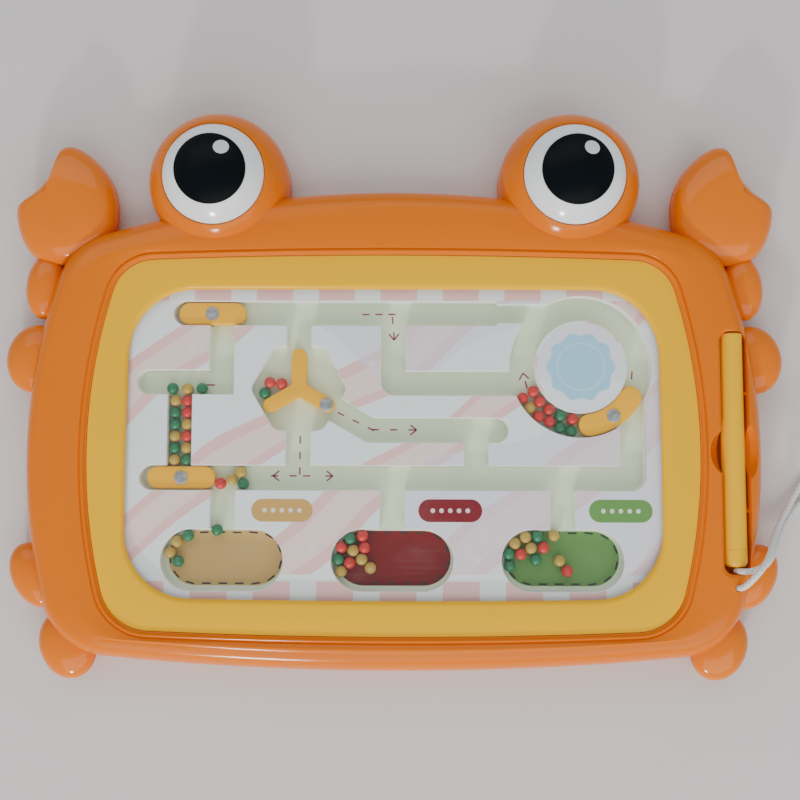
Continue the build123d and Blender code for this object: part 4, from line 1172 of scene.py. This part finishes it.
def makeBalls(spec):
    tree = ballTree()
    coats = {slot: coatedBall(slot, base, spec["speck"]) for slot, base in spec["coats"].items()}
    slots = {p["node"]: p["material_slot"] for p in frame["record"]["subparts"]}
    total = 0
    for body, members in frame["record"]["behaviour"]["bodies"].items():
        for node in members:
            slot = slots[node]
            if slot in coats:
                points = centresOf(node)
                values = {"Radius": spec["radius"] * mm, "Material": coats[slot]}
                dress(onPoints("coated_" + node, points, tree, values), slot, node, body=body)
                total += len(points)
    print("balls placed:", total)


makeBalls(ballSpec)


# gates, rotor and their steel slugs

gateSpec = {
    "edge": 0.8, "steps": 3, "slides": ("top_gate", "lower_gate"),
    "arc": {"centre": (95.3, 12.8), "reach": 29.9, "half": 5.7, "start": -80.8, "sweep": 49.8},
    "rotor": {"centre": (-48.3, 1.5), "reach": 16.75, "half": 3.85, "fillet": 2.2, "arms": (90, 210, 330)}}
slugSpec = {"radius": 3.5, "bevel": 0.35, "dish": ((0.6, 0.05), (0.0, 0.08)),
            "bodies": ("top_gate", "lower_gate", "arc_gate", "rotor")}


def steelMaterial(name, base=(0.42, 0.44, 0.45), roughness=0.42):
    material, s, shader = newMaterial(name)
    place = s.place()
    blotch, fine = s.noise(place, 480.0, 4.0, 0.65), s.noise(place, 2600.0)
    height = s.add(s.times(blotch, 0.6), s.times(fine, 0.4))
    s.give(shader, {"Base Color": s.mix(s.step(blotch, 0.35, 0.65), colour(base, 0.72), colour(base, 1.25)),
                    "Metallic": 0.85, "Roughness": s.add(roughness, s.times(blotch, 0.15)),
                    "Normal": s.relief(height, 0.4, 0.0002)})
    return material


def addPlate(name, loop, heights, spec, body, node):
    # a plate with rounded upper and lower edges, from a closed line of points
    line = [Vector(p[:2]) for p in loop]
    edge, steps = spec["edge"], spec["steps"]

    def inset(amount):
        out = []
        for i, p in enumerate(line):
            a, b = (p - line[i - 1]).normalized(), (line[(i + 1) % len(line)] - p).normalized()
            n = Vector((-a.y, a.x)) + Vector((-b.y, b.x))
            out.append(p + n / max(n.length_squared / 2, 0.3) * amount)
        return out

    low, high = heights
    levels = [(edge * (1 - math.sin(t)), low + edge * (1 - math.cos(t))) for t in quarter(steps)]
    levels += [(edge * (1 - math.cos(t)), high - edge * (1 - math.sin(t))) for t in quarter(steps)]
    mesh = bridged(name, [[(p.x, p.y, z) for p in inset(amount)] for amount, z in levels])
    addPiece(name, mesh, amberPlastic, "amber_gate", node, body=body)


def arcGateLoop(spec):
    centre, reach, half, start, sweep = (spec[key] for key in ("centre", "reach", "half", "start", "sweep"))
    end = start + sweep
    loop = arcPoints(centre, reach + half, start, sweep, 24)
    loop += arcPoints(around(centre, reach, end), half, end, 180, 16)
    loop += arcPoints(centre, reach - half, end, -sweep, 24)
    return loop + arcPoints(around(centre, reach, start), half, start + 180, 180, 16)


def rotorLoop(spec):
    # round arm ends, and slightly rounded inner corners between the arms
    centre, half, fillet = spec["centre"], spec["half"], spec["fillet"]
    away = (half + fillet) / math.sin(math.radians(60))
    loop = []
    for turn in spec["arms"]:
        loop += arcPoints(around(centre, spec["reach"], turn), half, turn - 90, 180, 16, 1)
        loop += arcPoints(around(centre, away, turn + 60), fillet, turn - 90, -60, 6, 1)
    return loop


def makeGates(spec):
    heights = [corner.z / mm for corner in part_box("top_gate_slider")]
    for gate in spec["slides"]:
        a, b = (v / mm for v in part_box(gate + "_slider"))
        loop = slotPoints((a.x + b.x) / 2, (a.y + b.y) / 2, b.x - a.x, b.y - a.y, 0, 20)
        addPlate(gate + "Plate", loop, heights, spec, gate, gate + "_slider")
    addPlate("arcGatePlate", arcGateLoop(spec["arc"]), heights, spec, "arc_gate", "arc_gate_slider")
    addPlate("rotorPlate", rotorLoop(spec["rotor"]), heights, spec, "rotor", "rotor_arms")


def makeSlugs(spec):
    steel = steelMaterial("slugSteel")
    r, e = spec["radius"], spec["bevel"]
    for body in spec["bodies"]:
        node = body + "_slug"
        low, high = (corner.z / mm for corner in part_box(node))
        profile = [(0, low), (r - e, low), (r, low + e), (r, high - e), (r - e * 0.3, high - e * 0.3)]
        profile += [(r - e, high)] + [(r * share, high - sunk) for share, sunk in spec["dish"]]
        disc = lathe(node, centresOf(node)[0], profile, 40)
        addPiece(node + "Disc", disc, steel, "steel_slug", node, body=body)


makeGates(gateSpec)
makeSlugs(slugSpec)
print("gates and rotor made")


# the pen

penSpec = {"x": 171.3, "z": 21.6, "top": 29.7, "seam": -78.6, "low": -87.6, "tip": 5.55, "end": 5.9,
           "tipRound": 1.0, "capRound": 3.0, "centre": 0.05, "seamEdge": ((0.03, 0.08), (0.12, 0.0)),
           "magnet": (0.1, 0.1, 0.11)}


def rodAlong(name, spec, profile, steps=64):
    # a round shape along +Y from (place, radius) steps
    return bridged(name, [[(x, y, z) for x, z in arcPoints((spec["x"], spec["z"]), r, 0, 360, steps)]
                          for y, r in profile])


def makePen(spec):
    top, seam, low, tip, end, centre = (spec[key] for key in ("top", "seam", "low", "tip", "end", "centre"))
    r = spec["tipRound"]
    (gap, sunk), (reach, flush) = spec["seamEdge"]
    barrel = [(seam + gap, centre), (seam + gap, end - sunk), (seam + reach, end - flush), (seam + 1.0, end)]
    barrel += [(seam + 1 + (top - 2 - seam) * i / 8, end + (tip - end) * i / 8) for i in range(1, 9)]
    barrel += [(top - r + r * math.sin(t), tip - r + r * math.cos(t)) for t in quarter(5)[1:]]
    barrel.append((top, centre))
    r = spec["capRound"]
    cap = [(low, centre)]
    cap += [(low + r * (1 - math.cos(t)), end - r * (1 - math.sin(t))) for t in quarter(7)]
    cap += [(seam - reach, end - flush), (seam - gap, end - sunk), (seam - gap, centre)]
    for name, profile, node in (("penBarrel", barrel, "pen_barrel"), ("penCap", cap, "pen_cap")):
        addPiece(name, rodAlong(name, spec, profile), penPlastic, "yellow_pen", node, body="wand")
    paintNode(steelMaterial("magnetDark", spec["magnet"], 0.5), "pen_magnet")


makePen(penSpec)
print("pen made")


# screws in the wells of the back

screwSpec = {"head": 2.8, "seat": 4.0, "height": 1.8, "slotLength": 3.2, "slotWidth": 0.7, "slotLift": 0.05,
             "steel": (0.5, 0.5, 0.5), "crossShade": (0.03, 0.03, 0.03)}


def screwTree(spec, steel, shadeInk):
    # a round head with a black cross on it: painted shade standing in for the sunken cross
    def build(n, given):
        def painted(shape, material):
            return n.node("GeometryNodeSetMaterial", {"Geometry": shape.outputs["Mesh"],
                                                      "Material": material}).outputs[0]

        head = n.node("GeometryNodeMeshCylinder", {"Vertices": 32, "Radius": given["Head"],
                                                   "Depth": given["Height"]})
        join = n.node("GeometryNodeJoinGeometry", {0: painted(head, steel)})
        length, width = spec["slotLength"] * mm, spec["slotWidth"] * mm
        # the two black bars are painted shade, put where the sunken cross of the head would be
        for x, y in ((length, width), (width, length)):
            bar = n.node("GeometryNodeMeshCube", {"Size": (x, y, (spec["height"] + spec["slotLift"]) * mm)})
            n.give(join, {0: painted(bar, shadeInk)})
        return {"Points": given["Geometry"], "Instance": join.outputs[0]}, None

    return instanceTree("screwHeads", {"Head": 0.0028, "Height": 0.0018}, build)


def makeScrews(spec):
    steel = steelMaterial("screwSteel", spec["steel"], 0.3)
    tree = screwTree(spec, steel, ink("screwCrossShade", spec["crossShade"]))
    points = [(x, y, spec["seat"] - spec["height"] / 2) for x, y, z in centresOf("case_screws")]
    heads = onPoints("screwHeads", points, tree, {"Head": spec["head"] * mm, "Height": spec["height"] * mm})
    smoothShade(heads.data, 40)
    dress(heads, "screw_steel", "case_screws")
    paintNode(steel, "panel_screws")


makeScrews(screwSpec)
print("screws made")
